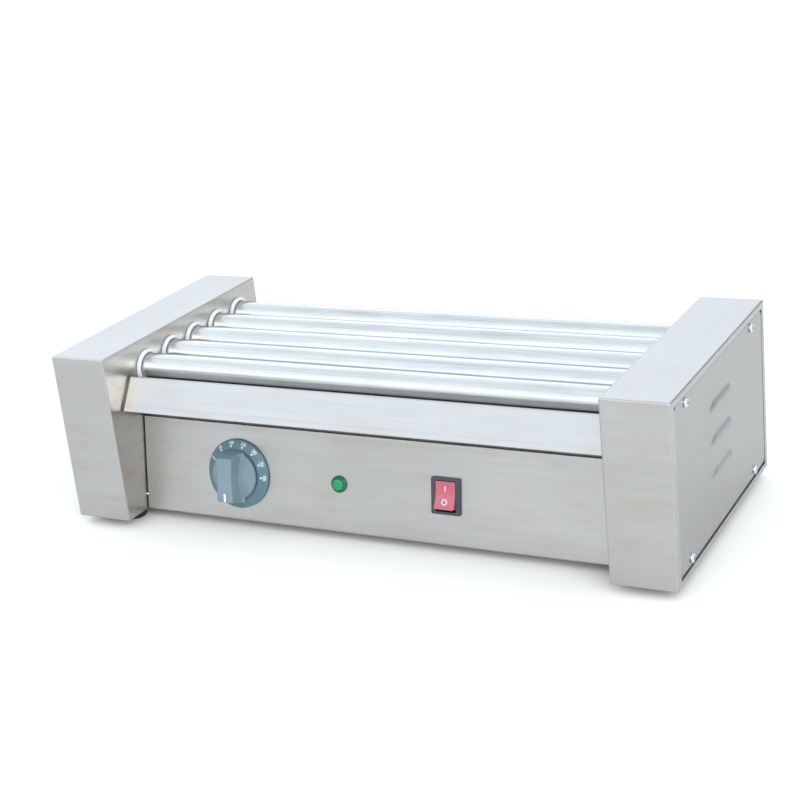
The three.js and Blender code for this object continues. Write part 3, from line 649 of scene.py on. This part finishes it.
def side_cover(name):
    """A flat plate with cut corners and three pressed louvres, held by four screws."""
    side = SIDES[name]
    low, high = COVER_BOXES[name]
    stand = LOUVRE_STAND + LOUVRE_SLACK
    outer = high.x - stand if side > 0 else low.x + stand
    inner = outer - side * SHEET
    c = COVER_CORNER
    outline = [
        (low.y + c, low.z), (high.y - c, low.z), (high.y, low.z + c), (high.y, high.z - c),
        (high.y - c, high.z), (low.y + c, high.z), (low.y, high.z - c), (low.y, low.z + c),
    ]
    outline = rounded([(y, z, COVER_CORNER_ROUND) for y, z in outline])
    plate = moved(prism(outline, min(inner, outer), max(inner, outer), HAIR), ALONG_X)
    openings = []
    for z in LOUVRE_ZS:
        openings.append(block(
            (inner - side * SHEET, LOUVRE_FRONT + LOUVRE_NOSE / 2, z - LOUVRE_HEIGHT / 2),
            (outer + side * SHEET, LOUVRE_REAR - 1.2 * MM, z + LOUVRE_HEIGHT / 2 - 1.4 * MM),
        ))
    for place in map(middle, SCREW_BOXES.values()):
        through = (outer - 3 * SHEET, outer + 3 * SHEET)
        hole = rod(SCREW_HOLE_RADIUS, *through, (place.y, place.z), 24)
        openings.append(moved(hole, ALONG_X))
    plate = cut(plate, merged(openings))
    hoods = [louvre_hood(outer, side, z) for z in LOUVRE_ZS]
    plate = joined(plate, merged(hoods))
    piece(f"{name}_cover_plate", plate, "cover_steel", "frame", [f"{name}_side_cover"])


def pan_screw(turn):
    """A pan-head screw with a cross recess, its seat at 0 and its head towards +z."""
    dome = [(0, SCREW_HEAD)]
    steps = 8
    for step in range(1, steps + 1):
        angle = math.pi / 2 * step / steps
        radius = SCREW_HEAD_RADIUS * math.sin(angle) ** 0.75
        dome.append((radius, SCREW_HEAD * (0.32 + 0.68 * math.cos(angle))))
    dome += [
        (SCREW_HEAD_RADIUS, 0.2 * SCREW_HEAD), (SCREW_HEAD_RADIUS - 0.2 * MM, 0),
        (SCREW_SHANK_RADIUS, 0), (SCREW_SHANK_RADIUS, -SCREW_LENGTH + 1 * MM),
        (1.2 * MM, -SCREW_LENGTH), (0, -SCREW_LENGTH),
    ]
    head = turned(dome, 40)
    slots = []
    for quarter in range(2):
        slot = block((-2.1 * MM, -0.45 * MM, 0.9 * MM), (2.1 * MM, 0.45 * MM, 3 * MM))
        slots.append(moved(slot, Matrix.Rotation(turn + quarter * math.pi / 2, 4, "Z")))
    return cut(head, *slots)


def cover_screws(name):
    """Four screws in a cover; only the right cover's have frame nodes of their own."""
    side = SIDES[name]
    for count, ((level, end), box) in enumerate(SCREW_BOXES.items()):
        seat = abs(box[1].x) - SCREW_HEAD
        place = middle(box)
        aim = ALONG_X if side > 0 else ALONG_X @ Matrix.Rotation(math.pi, 4, "Y")
        at = Matrix.Translation((side * seat, place.y, place.z)) @ aim
        node = f"right_cover_screw_{level}_{end}"
        piece(
            f"{name}_pan_screw_{level}_{end}", pan_screw(0.4 + count * 0.7), "zinc", "frame",
            [node] if side > 0 else (), at,
        )


for name in SIDES:
    housing(name)
    side_cover(name)
    cover_screws(name)


# ------------------------------------------------------ panel, tray and their kin
PANEL_FLANGE = 16 * MM
PANEL_END_FLANGE = 13 * MM
PANEL_END_INSET = 0.8 * MM
SPINDLE_HOLE = 5.4 * MM
LAMP_HOLE = 6.4 * MM
SWITCH_HOLE_INSET = 2 * MM
PANEL_CUT = (-4 * MM, 2 * MM)
TRAY_WALL_TOP = 111 * MM
TRAY_FRONT_FOOT = -72 * MM
TRAY_FRONT_BEND = Vector((-77.5, 125.2)) * MM
TRAY_BEND_RADIUS = 2.5 * MM
LIP_FOOT_Z = 107.8 * MM
LIP_APEX_Y = -91.3 * MM
LIP_APEX_OVER = 0.65 * MM
HEM_HEIGHT = 5 * MM
HEM_SET_BACK = 0.12 * MM
WELD_SIZE = (1 * MM, 1.1 * MM, 0.7 * MM)
WELD_PLACE = (0.5 * MM, 14 * MM, 0.1 * MM)


def control_panel():
    """The sloped front: a folded sheet with a flange all round and three cut-outs."""
    low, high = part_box("control_panel")
    top_y = low.y + (high.z - low.z) * SLOPE.y / SLOPE.z
    path = [
        (low.y + PANEL_FLANGE, low.z), (low.y, low.z), (top_y, high.z),
        (top_y + PANEL_FLANGE, high.z),
    ]
    face = rounded([(y, z, BEND) for y, z in path], closed=False)
    panel = prism(sheet_outline(face, -SHEET), low.x, high.x, HAIR)
    dial_at = middle(panel_box("dial_plate"))[:2]
    lamp_at = middle(panel_box("pilot_lamp"))[:2]
    switch_low, switch_high = panel_box("switch_housing")
    inset = Vector((SWITCH_HOLE_INSET, SWITCH_HOLE_INSET, 0))
    cut_low, cut_high = PANEL_CUT
    tools = [
        rod(SPINDLE_HOLE, cut_low, cut_high, dial_at),
        rod(LAMP_HOLE, cut_low, cut_high, lamp_at),
        block((*(switch_low + inset)[:2], cut_low), (*(switch_high - inset)[:2], cut_high)),
    ]
    tools = [moved(tool, PANEL) for tool in tools]
    panel = cut(moved(panel, ALONG_X), *tools)
    bottom, top = low.z + PANEL_END_INSET, high.z - PANEL_END_INSET
    flange = [
        (low.y + PANEL_END_INSET, bottom), (low.y + PANEL_END_FLANGE, bottom),
        (top_y + PANEL_END_FLANGE, top), (top_y + PANEL_END_INSET, top),
    ]
    ends = [
        prism(flange, low.x + SLIVER, low.x + SHEET),
        prism(flange, high.x - SHEET, high.x - SLIVER),
    ]
    panel = joined(panel, moved(merged(ends), ALONG_X))
    piece("front_panel_sheet", panel, "steel", "frame", ["control_panel"])


def drip_tray():
    """The tray, whose front rises in two slopes and folds forward into a hemmed lip."""
    low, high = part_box("drip_tray")
    floor = low.z + SHEET
    back = high.y - SHEET
    lip_foot = Vector((low.y, LIP_FOOT_Z))
    apex = Vector((LIP_APEX_Y, high.z + LIP_APEX_OVER))
    up_lip = (apex - lip_foot).normalized()
    behind = Vector((up_lip.y, -up_lip.x))
    inward = behind * HEM_SET_BACK
    foot = Vector((TRAY_FRONT_FOOT, floor))
    path = [
        lip_foot + inward, lip_foot + up_lip * HEM_HEIGHT + inward,
        lip_foot + up_lip * (HEM_HEIGHT + 0.4 * MM), apex, TRAY_FRONT_BEND, foot,
        (back, floor), (back, TRAY_WALL_TOP),
    ]
    corners = [0, 0, 0, 1.5 * MM, *[TRAY_BEND_RADIUS] * 3, 0]
    face = rounded([(y, z, r) for (y, z), r in zip(path, corners)], closed=False)
    tray = prism(sheet_outline(face, -SHEET), low.x, high.x, HAIR)
    hem = [
        lip_foot + inward * 0.5, lip_foot + up_lip * HEM_HEIGHT,
        lip_foot + up_lip * HEM_HEIGHT + behind * 2.1 * SHEET,
        lip_foot + up_lip * 0.6 * MM + behind * 2.1 * SHEET,
        lip_foot - up_lip * 0.35 * MM + behind * 1.05 * SHEET,
    ]
    hem = rounded([(y, z, 0.3 * MM) for y, z in hem])
    half = SHEET / 2
    rise = (TRAY_WALL_TOP - floor) / (TRAY_FRONT_BEND.y - floor)
    wall_front = foot.lerp(TRAY_FRONT_BEND, rise)
    wall_top = TRAY_WALL_TOP - 0.2 * MM
    wall = [
        (foot.x - half, low.z + half), (back + half, low.z + half), (back + half, wall_top),
        (wall_front.x - half, wall_top),
    ]
    extras = [
        prism(hem, low.x + 1.5 * SLIVER, high.x - 1.5 * SLIVER),
        prism(wall, low.x + SLIVER, low.x + SHEET),
        prism(wall, high.x - SHEET, high.x - SLIVER),
    ]
    tray = joined(moved(tray, ALONG_X), *[moved(extra, ALONG_X) for extra in extras])
    piece("tray_sheet", tray, "steel", "tray", ["drip_tray"])


def tack_welds():
    """Small weld beads that hold the control panel to the housings."""
    low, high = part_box("control_panel")
    across, up, out = WELD_PLACE
    for name, side in SIDES.items():
        x = high.x if side > 0 else low.x
        bead = bmesh.new()
        bmesh.ops.create_icosphere(bead, subdivisions=3, radius=1)
        for vertex in bead.verts:
            vertex.co *= 1 + 0.16 * noise.noise(vertex.co * 1.9 + Vector((side, 0, 4)))
        at = Matrix.Translation((x + side * across, up, out)) @ Matrix.Diagonal((*WELD_SIZE, 1))
        piece(f"panel_tack_weld_{name}", bead, "zinc", "frame", (), PANEL @ at)


control_panel()
drip_tray()
tack_welds()


# --------------------------------------------------------- rollers and bushes
TUBE_END = 229.7 * MM
TUBE_PLUG = 226 * MM
TUBE_WALL = 1.2 * MM
SPIGOT_RADIUS = 8 * MM
SPIGOT_BORE = 5.9 * MM
BUSH_BORE = 12.95 * MM
BUSH_NECK = 14.3 * MM


def roller(body, centre):
    """A thin tube with a plug and a hollow spigot at each end."""
    low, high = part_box(body)
    radius = (high.z - low.z) / 2
    lining = radius - TUBE_WALL
    edge = 0.4 * MM
    profile = [
        (SPIGOT_BORE, low.x, 0), (SPIGOT_RADIUS, low.x, edge), (SPIGOT_RADIUS, -TUBE_END, edge),
        (radius, -TUBE_END, 1 * MM), (radius, TUBE_END, 1 * MM),
        (SPIGOT_RADIUS, TUBE_END, edge), (SPIGOT_RADIUS, high.x, edge),
        (SPIGOT_BORE, high.x, 0), (SPIGOT_BORE, TUBE_PLUG, edge), (lining, TUBE_PLUG, 0),
        (lining, -TUBE_PLUG, 0), (SPIGOT_BORE, -TUBE_PLUG, 0),
    ]
    tube = turned(rounded(profile, steps=3), 96)
    at = Matrix.Translation((0, centre.y, centre.z)) @ ALONG_X
    piece(f"{body}_tube", tube, "roller_steel", body, [body], at)


def bush(name, number, centre):
    """A white bush whose round flange covers the hole in the housing's wall."""
    side = SIDES[name]
    node = f"bush_{name}_{number}"
    low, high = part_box(node)
    flange = (high.z - low.z) / 2
    face = min(abs(low.x), abs(high.x))
    end = max(abs(low.x), abs(high.x))
    seat = abs(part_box("right_housing")[0].x) - RIM_SIDE_GAP
    outline = [
        (BUSH_BORE, face, 1.3 * MM), (flange, face, 1.5 * MM), (flange, seat, 0.3 * MM),
        (BUSH_NECK, seat, 0.2 * MM), (BUSH_NECK, end, 0.3 * MM), (BUSH_BORE, end, 0.3 * MM),
    ]
    ring = turned([(radius, side * x) for radius, x in rounded(outline)], 72)
    at = Matrix.Translation((0, centre.y, centre.z)) @ ALONG_X
    piece(f"bush_ring_{name}_{number}", ring, "ptfe", "frame", [node], at)


for number, (body, centre) in enumerate(zip(ROLLERS, ROLLER_CENTRES), 1):
    roller(body, centre)
    for name in SIDES:
        bush(name, number, centre)


# ------------------------------------------------------------------- controls
DIAL_LOW, DIAL_HIGH = panel_box("dial_plate")
DIAL_CENTRE = Vector((KNOB_PIVOT.x, CONTROL_HEIGHT, 0))
DIAL_TOP = DIAL_HIGH.z
DIAL_START = math.radians(62.4)
DIAL_STEP = math.radians(-25.8)
DIAL_OFF = math.radians(-166)
DIAL_VALUES = [0, 50, 100, 150, 200, 250, 300]
DIAL_HOLE = 5.2 * MM
DIAL_SHOULDER = (23 * MM, DIAL_TOP)
DIAL_SLOPE_END = (29.8 * MM, 2.5 * MM)
DOT_PLACE = 24.9 * MM
DOT_RADIUS = 0.8 * MM
NUMBER_PLACE = 26.3 * MM
NUMBER_HEIGHT = 4.4 * MM
NUMBER_NARROWING = 0.74
PRINT_RISE = 0.04 * MM


def on_panel(centre, turn=0.0):
    """The matrix that puts a piece on the panel at a centre, turned about its z."""
    return PANEL @ Matrix.Translation(centre) @ Matrix.Rotation(turn, 4, "Z")


def on_dial(radius, turn):
    """The matrix of a mark on the dial's slope: its y runs outwards and down the slope."""
    run = DIAL_SLOPE_END[0] - DIAL_SHOULDER[0]
    fall = DIAL_SHOULDER[1] - DIAL_SLOPE_END[1]
    z = DIAL_SHOULDER[1] - fall * (radius - DIAL_SHOULDER[0]) / run
    lean = Matrix.Rotation(-math.atan2(fall, run), 4, "X")
    return on_panel(DIAL_CENTRE, turn) @ Matrix.Translation((0, radius, z)) @ lean


def dial_number(value, turn):
    """A number in thin raised print, centred on its baseline on the dial's slope."""
    name = f"dial_number_{value}"
    curve = bpy.data.curves.new(name, "FONT")
    curve.body = str(value)
    curve.size = NUMBER_HEIGHT
    curve.align_x = "CENTER"
    curve.extrude = PRINT_RISE
    curve.resolution_u = 3
    solid = evaluated(added(name, curve))
    bpy.data.curves.remove(curve)
    bmesh.ops.remove_doubles(solid, verts=solid.verts, dist=SAME_PLACE)
    at = on_dial(NUMBER_PLACE, turn) @ Matrix.Diagonal((NUMBER_NARROWING, 1, 1, 1))
    piece(name, solid, "white_print", "frame", (), at)


def dial_dot(name, turn):
    """A round dot of print on the dial."""
    low, high = -0.1 * MM, 0.1 * MM
    edge = DOT_RADIUS - 0.05 * MM
    dot = turned([(0, low), (DOT_RADIUS, low), (edge, 0.8 * high), (0, high)], 20)
    piece(name, dot, "white_print", "frame", (), on_dial(DOT_PLACE, turn))


def dial_plate():
    """The fixed ring behind the knob, which slopes down to a thin rim, and its scale."""
    radius = DIAL_HIGH.x - DIAL_CENTRE.x
    low = DIAL_LOW.z
    outline = [
        (DIAL_HOLE, low, 0), (radius, low, 0.1 * MM), (radius, 1.9 * MM, 0.5 * MM),
        (*DIAL_SLOPE_END, 0.6 * MM), (*DIAL_SHOULDER, 1.2 * MM), (DIAL_HOLE, DIAL_TOP, 0),
    ]
    ring = turned(rounded(outline, steps=4), 128)
    piece("dial_ring", ring, "dial_plastic", "frame", ["dial_plate"], on_panel(DIAL_CENTRE))
    for i, value in enumerate(DIAL_VALUES):
        turn = DIAL_START + DIAL_STEP * i
        dial_number(value, turn)
        dial_dot(f"dial_dot_{value}", turn)
    dial_dot("dial_dot_off", DIAL_OFF)


KNOB_LOW, KNOB_HIGH = panel_box("knob")
KNOB_RADIUS = KNOB_HIGH.x - DIAL_CENTRE.x
KNOB_BASE = KNOB_LOW.z
KNOB_TOP = KNOB_HIGH.z
KNOB_NOSE = KNOB_LOW.y - DIAL_CENTRE.y
GRIP_HALF_WIDTH = 8 * MM
GRIP_WAIST = 1.1 * MM
GRIP_WAIST_ROUND = 90 * MM
GRIP_CORNER = 1.8 * MM
GRIP_NOSE_END = -20.6 * MM
GRIP_TAIL_END = 17.6 * MM
GRIP_DRAFT = 0.5 * MM
GRIP_FLARE = 2.4 * MM
GRIP_TAIL_FLARE = 3.6 * MM
POINTER_HALF_WIDTH = 0.85 * MM
POINTER_END = -13 * MM
SKIRT_GAP = 1.3 * MM
SKIRT_INSET = 2.6 * MM
RIM_HEIGHT = 3.6 * MM
DOME_HEIGHT = 7.2 * MM
KNOB_VOXEL = 0.32 * MM


def grip_outline(half, nose, tail):
    """The grip seen from above: a long bar, a little narrower in its middle."""
    waist = half - GRIP_WAIST
    halfway = (nose + tail) / 2
    return rounded([
        (-half, nose, GRIP_CORNER), (half, nose, GRIP_CORNER),
        (waist, halfway, GRIP_WAIST_ROUND), (half, tail, GRIP_CORNER),
        (-half, tail, GRIP_CORNER), (-waist, halfway, GRIP_WAIST_ROUND),
    ])


def knob_grip():
    """The bar across the knob, whose steep sides flare only where they meet the dome."""
    rings = []
    levels = 16
    foot = KNOB_BASE + 2 * MM
    for level in range(levels + 1):
        share = level / levels
        rest = 1 - share
        half = GRIP_HALF_WIDTH + GRIP_DRAFT * rest + GRIP_FLARE * rest ** 7
        tail = GRIP_TAIL_END + GRIP_TAIL_FLARE * math.sin(rest * math.pi / 2)
        nose = GRIP_NOSE_END + (KNOB_NOSE + 0.3 * MM - GRIP_NOSE_END) * rest
        z = foot + (KNOB_TOP - foot) * share
        rings.append([(x, y, z) for x, y in grip_outline(half, nose, tail)])
    return lofted(rings)


def knob():
    """A moulded knob: a low dome that stands off the dial, and a bar that points at the scale."""
    skirt = KNOB_BASE + SKIRT_GAP
    skirt_radius = KNOB_RADIUS - SKIRT_INSET
    rim = KNOB_BASE + RIM_HEIGHT
    dome = KNOB_BASE + DOME_HEIGHT
    disc = turned(rounded([
        (0, KNOB_BASE, 0), (skirt_radius, KNOB_BASE, 0), (skirt_radius, skirt, 0),
        (KNOB_RADIUS, skirt, 0.3 * MM), (KNOB_RADIUS - 1.1 * MM, rim, 1.2 * MM),
        (KNOB_RADIUS - 4 * MM, rim + 0.5 * MM, 2 * MM), (9 * MM, dome - 0.8 * MM, 12 * MM),
        (0, dome, 0),
    ]), 128)
    holder = temporary(joined(disc, knob_grip()))
    remesh = holder.modifiers.new("remesh", "REMESH")
    remesh.mode = "VOXEL"
    remesh.voxel_size = KNOB_VOXEL
    smooth = holder.modifiers.new("smooth", "SMOOTH")
    smooth.factor = 0.5
    smooth.iterations = 4
    at = on_panel(DIAL_CENTRE)
    piece("knob_moulding", evaluated(holder), "knob_plastic", "knob", ["knob"], at, 180)


def knob_pointer():
    """The white line near the pointing end of the grip."""
    low = (-POINTER_HALF_WIDTH, GRIP_NOSE_END + 0.5 * MM)
    line = rectangle(low, (POINTER_HALF_WIDTH, POINTER_END), 0.3 * MM)
    strip = prism(line, KNOB_TOP - 0.25 * MM, KNOB_TOP + PRINT_RISE)
    piece("knob_pointer_line", strip, "white_print", "knob", (), on_panel(DIAL_CENTRE))


LENS_RADIUS = 5.55 * MM
LENS_SEAT = 5.7 * MM
BARREL_RADIUS = 6 * MM
BARREL_BORE = 5.4 * MM
BARREL_END = -22 * MM


def pilot_lamp():
    """The lamp's dark rim and its faceted green lens."""
    low, high = panel_box("pilot_lamp")
    centre = middle((low, high))
    centre.z = 0
    radius = (high.x - low.x) / 2
    rim = turned(rounded([
        (LENS_SEAT, 0.3 * MM, 0.1 * MM), (radius, 0.3 * MM, 0.15 * MM),
        (radius, 1.2 * MM, 0.5 * MM), (radius - 0.9 * MM, 2.4 * MM, 0.5 * MM),
        (LENS_SEAT, 1.9 * MM, 0.2 * MM), (LENS_SEAT, -0.9 * MM, 0),
        (BARREL_RADIUS, -0.9 * MM, 0), (BARREL_RADIUS, BARREL_END, 0),
        (BARREL_BORE, BARREL_END, 0), (BARREL_BORE, -1.4 * MM, 0), (LENS_SEAT, -1.2 * MM, 0),
    ]), 64)
    piece("lamp_bezel", rim, "lamp_rim", "frame", ["pilot_lamp"], on_panel(centre))
    lens = turned(rounded([
        (0, -0.7 * MM, 0), (LENS_RADIUS, -0.7 * MM, 0.1 * MM), (LENS_RADIUS, 1.9 * MM, 0.4 * MM),
        (4.7 * MM, 3.4 * MM, 1.2 * MM), (0, 4.9 * MM, 0),
    ]), 48)
    piece("lamp_lens", lens, "green_lens", "frame", ["pilot_lens"], on_panel(centre))


ROCKER_LOW, ROCKER_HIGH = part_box("switch_rocker")
ROCKER_HALF_WIDTH = (ROCKER_HIGH.x - ROCKER_LOW.x) / 2
ROCKER_GAP = 0.4 * MM
WELL_HALF_HEIGHT = 13.1 * MM
WELL_DEPTH = 10.5 * MM
BODY_HALF_WIDTH = 10.6 * MM
BODY_HALF_HEIGHT = 14.2 * MM


def switch_frame():
    """The black frame of the rocker switch and the body behind the panel."""
    low, high = panel_box("switch_housing")
    centre = middle((low, high))
    centre.z = 0
    half = (high - low) / 2
    window = (ROCKER_HALF_WIDTH + ROCKER_GAP, WELL_HALF_HEIGHT)
    face = prism(rectangle((-half.x, -half.y), half[:2], 1.2 * MM), 0.3 * MM, high.z, 0.5 * MM)
    body = block(
        (-BODY_HALF_WIDTH, -BODY_HALF_HEIGHT, low.z), (BODY_HALF_WIDTH, BODY_HALF_HEIGHT, 1 * MM),
        0.5 * MM)
    well = rectangle((-window[0], -window[1]), window, 0.6 * MM)
    solid = cut(joined(face, body), prism(well, -WELL_DEPTH, 4 * MM))
    at = on_panel(centre)
    piece("switch_frame", solid, "black_plastic", "frame", ["switch_housing"], at)


ROCKER_PIVOT = PANEL.inverted() @ Vector(joint("switch_rock")["pos_m"])
ROCKER_TIP = math.radians(joint("switch_rock")["range_deg"][1] / 2)
ROCKER_END = 11.5 * MM
ROCKER_DIP = 5 * MM
ROCKER_RISE = 2 * MM
ROCKER_BELLY = -5.4 * MM
MARK_PLACE = 5.5 * MM
MARK_TILT = 0.17
MARK_DEPTH = -0.3 * MM
MARK_RISE = 0.08 * MM
STROKE_HALF = (0.3 * MM, 2.3 * MM)
RING_RADII = (1.85 * MM, 2.4 * MM)


def rocker_height(y):
    """The height of the rocker's dished face at a distance from its middle."""
    return ROCKER_DIP + ROCKER_RISE * abs(y / ROCKER_END) ** 1.8


def switch_rocker():
    """The red rocker, tipped with its top end in, and the marks for on and off."""
    at = PANEL @ Matrix.Translation(ROCKER_PIVOT) @ Matrix.Rotation(-ROCKER_TIP, 4, "X")
    dish = []
    for step in range(17):
        y = (1 - step / 8) * ROCKER_END
        dish.append((y, rocker_height(y), 0))
    outline = [
        (-10.5 * MM, -2.5 * MM, 0.5 * MM), (-5 * MM, ROCKER_BELLY, 1 * MM),
        (5 * MM, ROCKER_BELLY, 1 * MM), (10.5 * MM, -2.5 * MM, 0.5 * MM), *dish,
    ]
    solid = prism(rounded(outline), -ROCKER_HALF_WIDTH, ROCKER_HALF_WIDTH, 0.55 * MM, 3)
    moved(solid, ALONG_X)
    piece("rocker_moulding", solid, "red_plastic", "rocker", ["switch_rocker"], at)
    x, y = STROKE_HALF
    on_mark = prism(rectangle((-x, -y), (x, y), 0.15 * MM), MARK_DEPTH, MARK_RISE)
    inner, outer = RING_RADII
    edge = 0.04 * MM
    off_mark = turned(rounded([
        (inner, MARK_DEPTH, 0), (outer, MARK_DEPTH, 0), (outer, MARK_RISE, edge),
        (inner, MARK_RISE, edge),
    ]), 48)
    for name, mark, end in (("on", on_mark, 1), ("off", off_mark, -1)):
        place = Matrix.Translation((0, end * MARK_PLACE, rocker_height(MARK_PLACE)))
        tilt = Matrix.Rotation(end * MARK_TILT, 4, "X")
        piece(f"rocker_mark_{name}", mark, "white_print", "rocker", (), at @ place @ tilt)


dial_plate()
knob()
knob_pointer()
pilot_lamp()
switch_frame()
switch_rocker()


# ------------------------------------------------------------------------ feet
FOOT_TOP = 7.7 * MM
FOOT_HOLLOW = 2.6 * MM
FOOT_STUD = 2.3 * MM


def foot(node):
    """A rubber foot with a hollow under its screw."""
    low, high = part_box(node)
    centre = middle((low, high))
    radius = (high.x - low.x) / 2
    solid = turned(rounded([
        (0, FOOT_HOLLOW, 0), (4 * MM, FOOT_HOLLOW, 0.3 * MM), (4.4 * MM, 0, 0.4 * MM),
        (radius - 1 * MM, 0, 1 * MM), (radius, 1.6 * MM, 1 * MM),
        (radius - 0.5 * MM, FOOT_TOP, 0.4 * MM), (FOOT_STUD, FOOT_TOP, 0),
        (FOOT_STUD, high.z, 0.3 * MM), (0, high.z, 0),
    ]), 64)
    at = Matrix.Translation((centre.x, centre.y, 0))
    piece(f"{node}_pad", solid, "rubber", "frame", [node], at)


for node in sorted(frame["nodes"]):
    if node.startswith("foot_"):
        foot(node)


# ------------------------------------------------- frame nodes that stay as shown
KEPT = {
    "floor_plate": "steel_x", "back_panel": "steel_x", "tray_deck": "steel_x",
    "heater_bracket_left": "steel_y", "heater_bracket_right": "steel_y",
    "motor_bracket": "steel_y", "gear_motor": "zinc", "motor_shaft": "zinc",
    "motor_sprocket": "chain", "drive_chain": "chain", "thermostat": "ceramic",
    "thermostat_spindle": "zinc", "thermostat_probe": "copper", "cable_gland": "black_plastic",
    "terminal_block": "ceramic",
    **{f"heating_element_{number}": "element" for number in range(1, 6)},
    **{f"roller_sprocket_{number}": "chain" for number in range(1, 6)},
}

for node, finish in KEPT.items():
    kept = frame["nodes"][node]
    kept.data.materials.clear()
    kept.data.materials.append(MATERIALS[finish])
    weld = kept.modifiers.new("weld", "WELD")
    weld.merge_threshold = 0.01 * MM
    round_off = kept.modifiers.new("bevel", "BEVEL")
    round_off.width = 0.2 * MM
    round_off.segments = 2
    round_off.limit_method = "ANGLE"
    round_off.angle_limit = math.radians(40)


# ------------------------------------------------------- floor, light and camera
FLOOR_RADIUS = 60
SKY_TOP = 2.3
SKY_TINT = (0.92, 1.0, 1.08)
BLUE_FROM = 0.3
ROOM_STOPS = [(0.0, 0.5), (0.12, 0.6), (0.26, 1.8), (0.36, 2.3), (0.6, 1.9), (1.0, 1.25)]
FRONT_STOPS = [(0.0, 1.35), (0.08, 1.4), (0.22, 1.75), (0.36, 2.0), (0.6, 1.9), (1.0, 1.2)]
FRONT_REACH = (-0.76, -0.9)
DIM_CORNER = (0.5, 0.86, 0.12)
DIM_REACH = (0.78, 0.95)
DIM_LEVEL = 0.38
KEY_PLACE = (1.85, -1.85, 1.35)
KEY_TARGET = (0, 0, 0.1)
KEY_SIZE = (1.9, 2.0)
KEY_WATTS = 47
CAMERA_AZIMUTH = math.radians(29.15)
CAMERA_ELEVATION = math.radians(20.13)
CAMERA_ROLL = math.radians(-6.21)
CAMERA_TARGET = Vector((-7.9, 0, 93.8)) * MM
CAMERA_DISTANCE = 1413.9 * MM
CAMERA_LENS_MM = 73.13
CAMERA_SENSOR_MM = 36


def floor():
    """A plain pale floor, wide enough to reach past every view."""
    disc = bmesh.new()
    bmesh.ops.create_circle(disc, cap_ends=True, segments=96, radius=FLOOR_RADIUS)
    made = added("floor", meshed("floor", disc))
    pale = Surface("pale_floor", roughness=0.9, Specular_IOR_Level=0.1)
    tone = pale.noise((0.8, 0.8, 0.8), 2)
    pale.set("Base Color", pale.mixed(tone, colour(222, 219, 214), colour(225, 222, 217)))
    made.data.materials.append(pale.material)


def sky_ramp(tree, height, stops):
    """A colour that follows the height of a direction through (height, level) stops."""
    ramp = add_node(tree, "ShaderNodeValToRGB", [(0, height)])
    points = ramp.color_ramp.elements
    while len(points) < len(stops):
        points.new(1.0)
    for point, (at, level) in zip(points, stops):
        blue = min(at / BLUE_FROM, 1)
        point.position = at
        point.color = [level / SKY_TOP * (1 + (part - 1) * blue) for part in SKY_TINT] + [1]
    return ramp.outputs[0]


def studio():
    """A pale room: a dim horizon under a bright ring, paler in front and dim at the right rear."""
    world = bpy.data.worlds.new("studio")
    bpy.context.scene.world = world
    world.use_nodes = True
    tree = world.node_tree
    aim = add_node(tree, "ShaderNodeTexCoord").outputs["Generated"]
    split = add_node(tree, "ShaderNodeSeparateXYZ", [(0, aim)])
    room = sky_ramp(tree, split.outputs["Z"], ROOM_STOPS)
    front = sky_ramp(tree, split.outputs["Z"], FRONT_STOPS)
    start, end = FRONT_REACH
    links = [("Value", split.outputs["Y"]), ("From Min", start), ("From Max", end)]
    forwards = add_node(tree, "ShaderNodeMapRange", links, interpolation_type="SMOOTHSTEP")
    a, b, result = MIX_COLOURS
    links = [("Factor", forwards.outputs[0]), (a, room), (b, front)]
    sky = add_node(tree, "ShaderNodeMix", links, data_type="RGBA").outputs[result]
    links = [(0, aim), (1, DIM_CORNER)]
    corner = add_node(tree, "ShaderNodeVectorMath", links, operation="DOT_PRODUCT")
    start, end = DIM_REACH
    links = [
        ("Value", corner.outputs["Value"]), ("From Min", start), ("From Max", end),
        ("To Min", 1.0), ("To Max", DIM_LEVEL),
    ]
    dim = add_node(tree, "ShaderNodeMapRange", links, interpolation_type="SMOOTHSTEP")
    links = [(0, sky), ("Scale", dim.outputs[0])]
    shaded = add_node(tree, "ShaderNodeVectorMath", links, operation="SCALE")
    background = tree.nodes["Background"].inputs
    tree.links.new(shaded.outputs[0], background["Color"])
    background["Strength"].default_value = SKY_TOP


def key_light():
    """A large soft lamp, high on the right in front."""
    light = bpy.data.lights.new("key", "AREA")
    light.shape = "RECTANGLE"
    light.size, light.size_y = KEY_SIZE
    light.energy = KEY_WATTS
    made = added("key", light)
    made.location = KEY_PLACE
    made.rotation_mode = "QUATERNION"
    aim = Vector(KEY_TARGET) - Vector(KEY_PLACE)
    made.rotation_quaternion = aim.to_track_quat("-Z", "Y")


def camera():
    """The camera: right of the front, above the grill, and tilted a little."""
    back = Vector((
        math.sin(CAMERA_AZIMUTH) * math.cos(CAMERA_ELEVATION),
        -math.cos(CAMERA_AZIMUTH) * math.cos(CAMERA_ELEVATION),
        math.sin(CAMERA_ELEVATION),
    ))
    data = bpy.data.cameras.new("camera")
    data.sensor_width = CAMERA_SENSOR_MM
    data.lens = CAMERA_LENS_MM
    data.clip_start = 0.05
    data.clip_end = 200
    made = added("camera", data)
    made.location = CAMERA_TARGET + back * CAMERA_DISTANCE
    made.rotation_mode = "QUATERNION"
    level = (-back).to_track_quat("-Z", "Y")
    made.rotation_quaternion = level @ Matrix.Rotation(CAMERA_ROLL, 3, "Z").to_quaternion()
    bpy.context.scene.camera = made


floor()
studio()
key_light()
camera()
bpy.context.scene.view_settings.view_transform = "Standard"
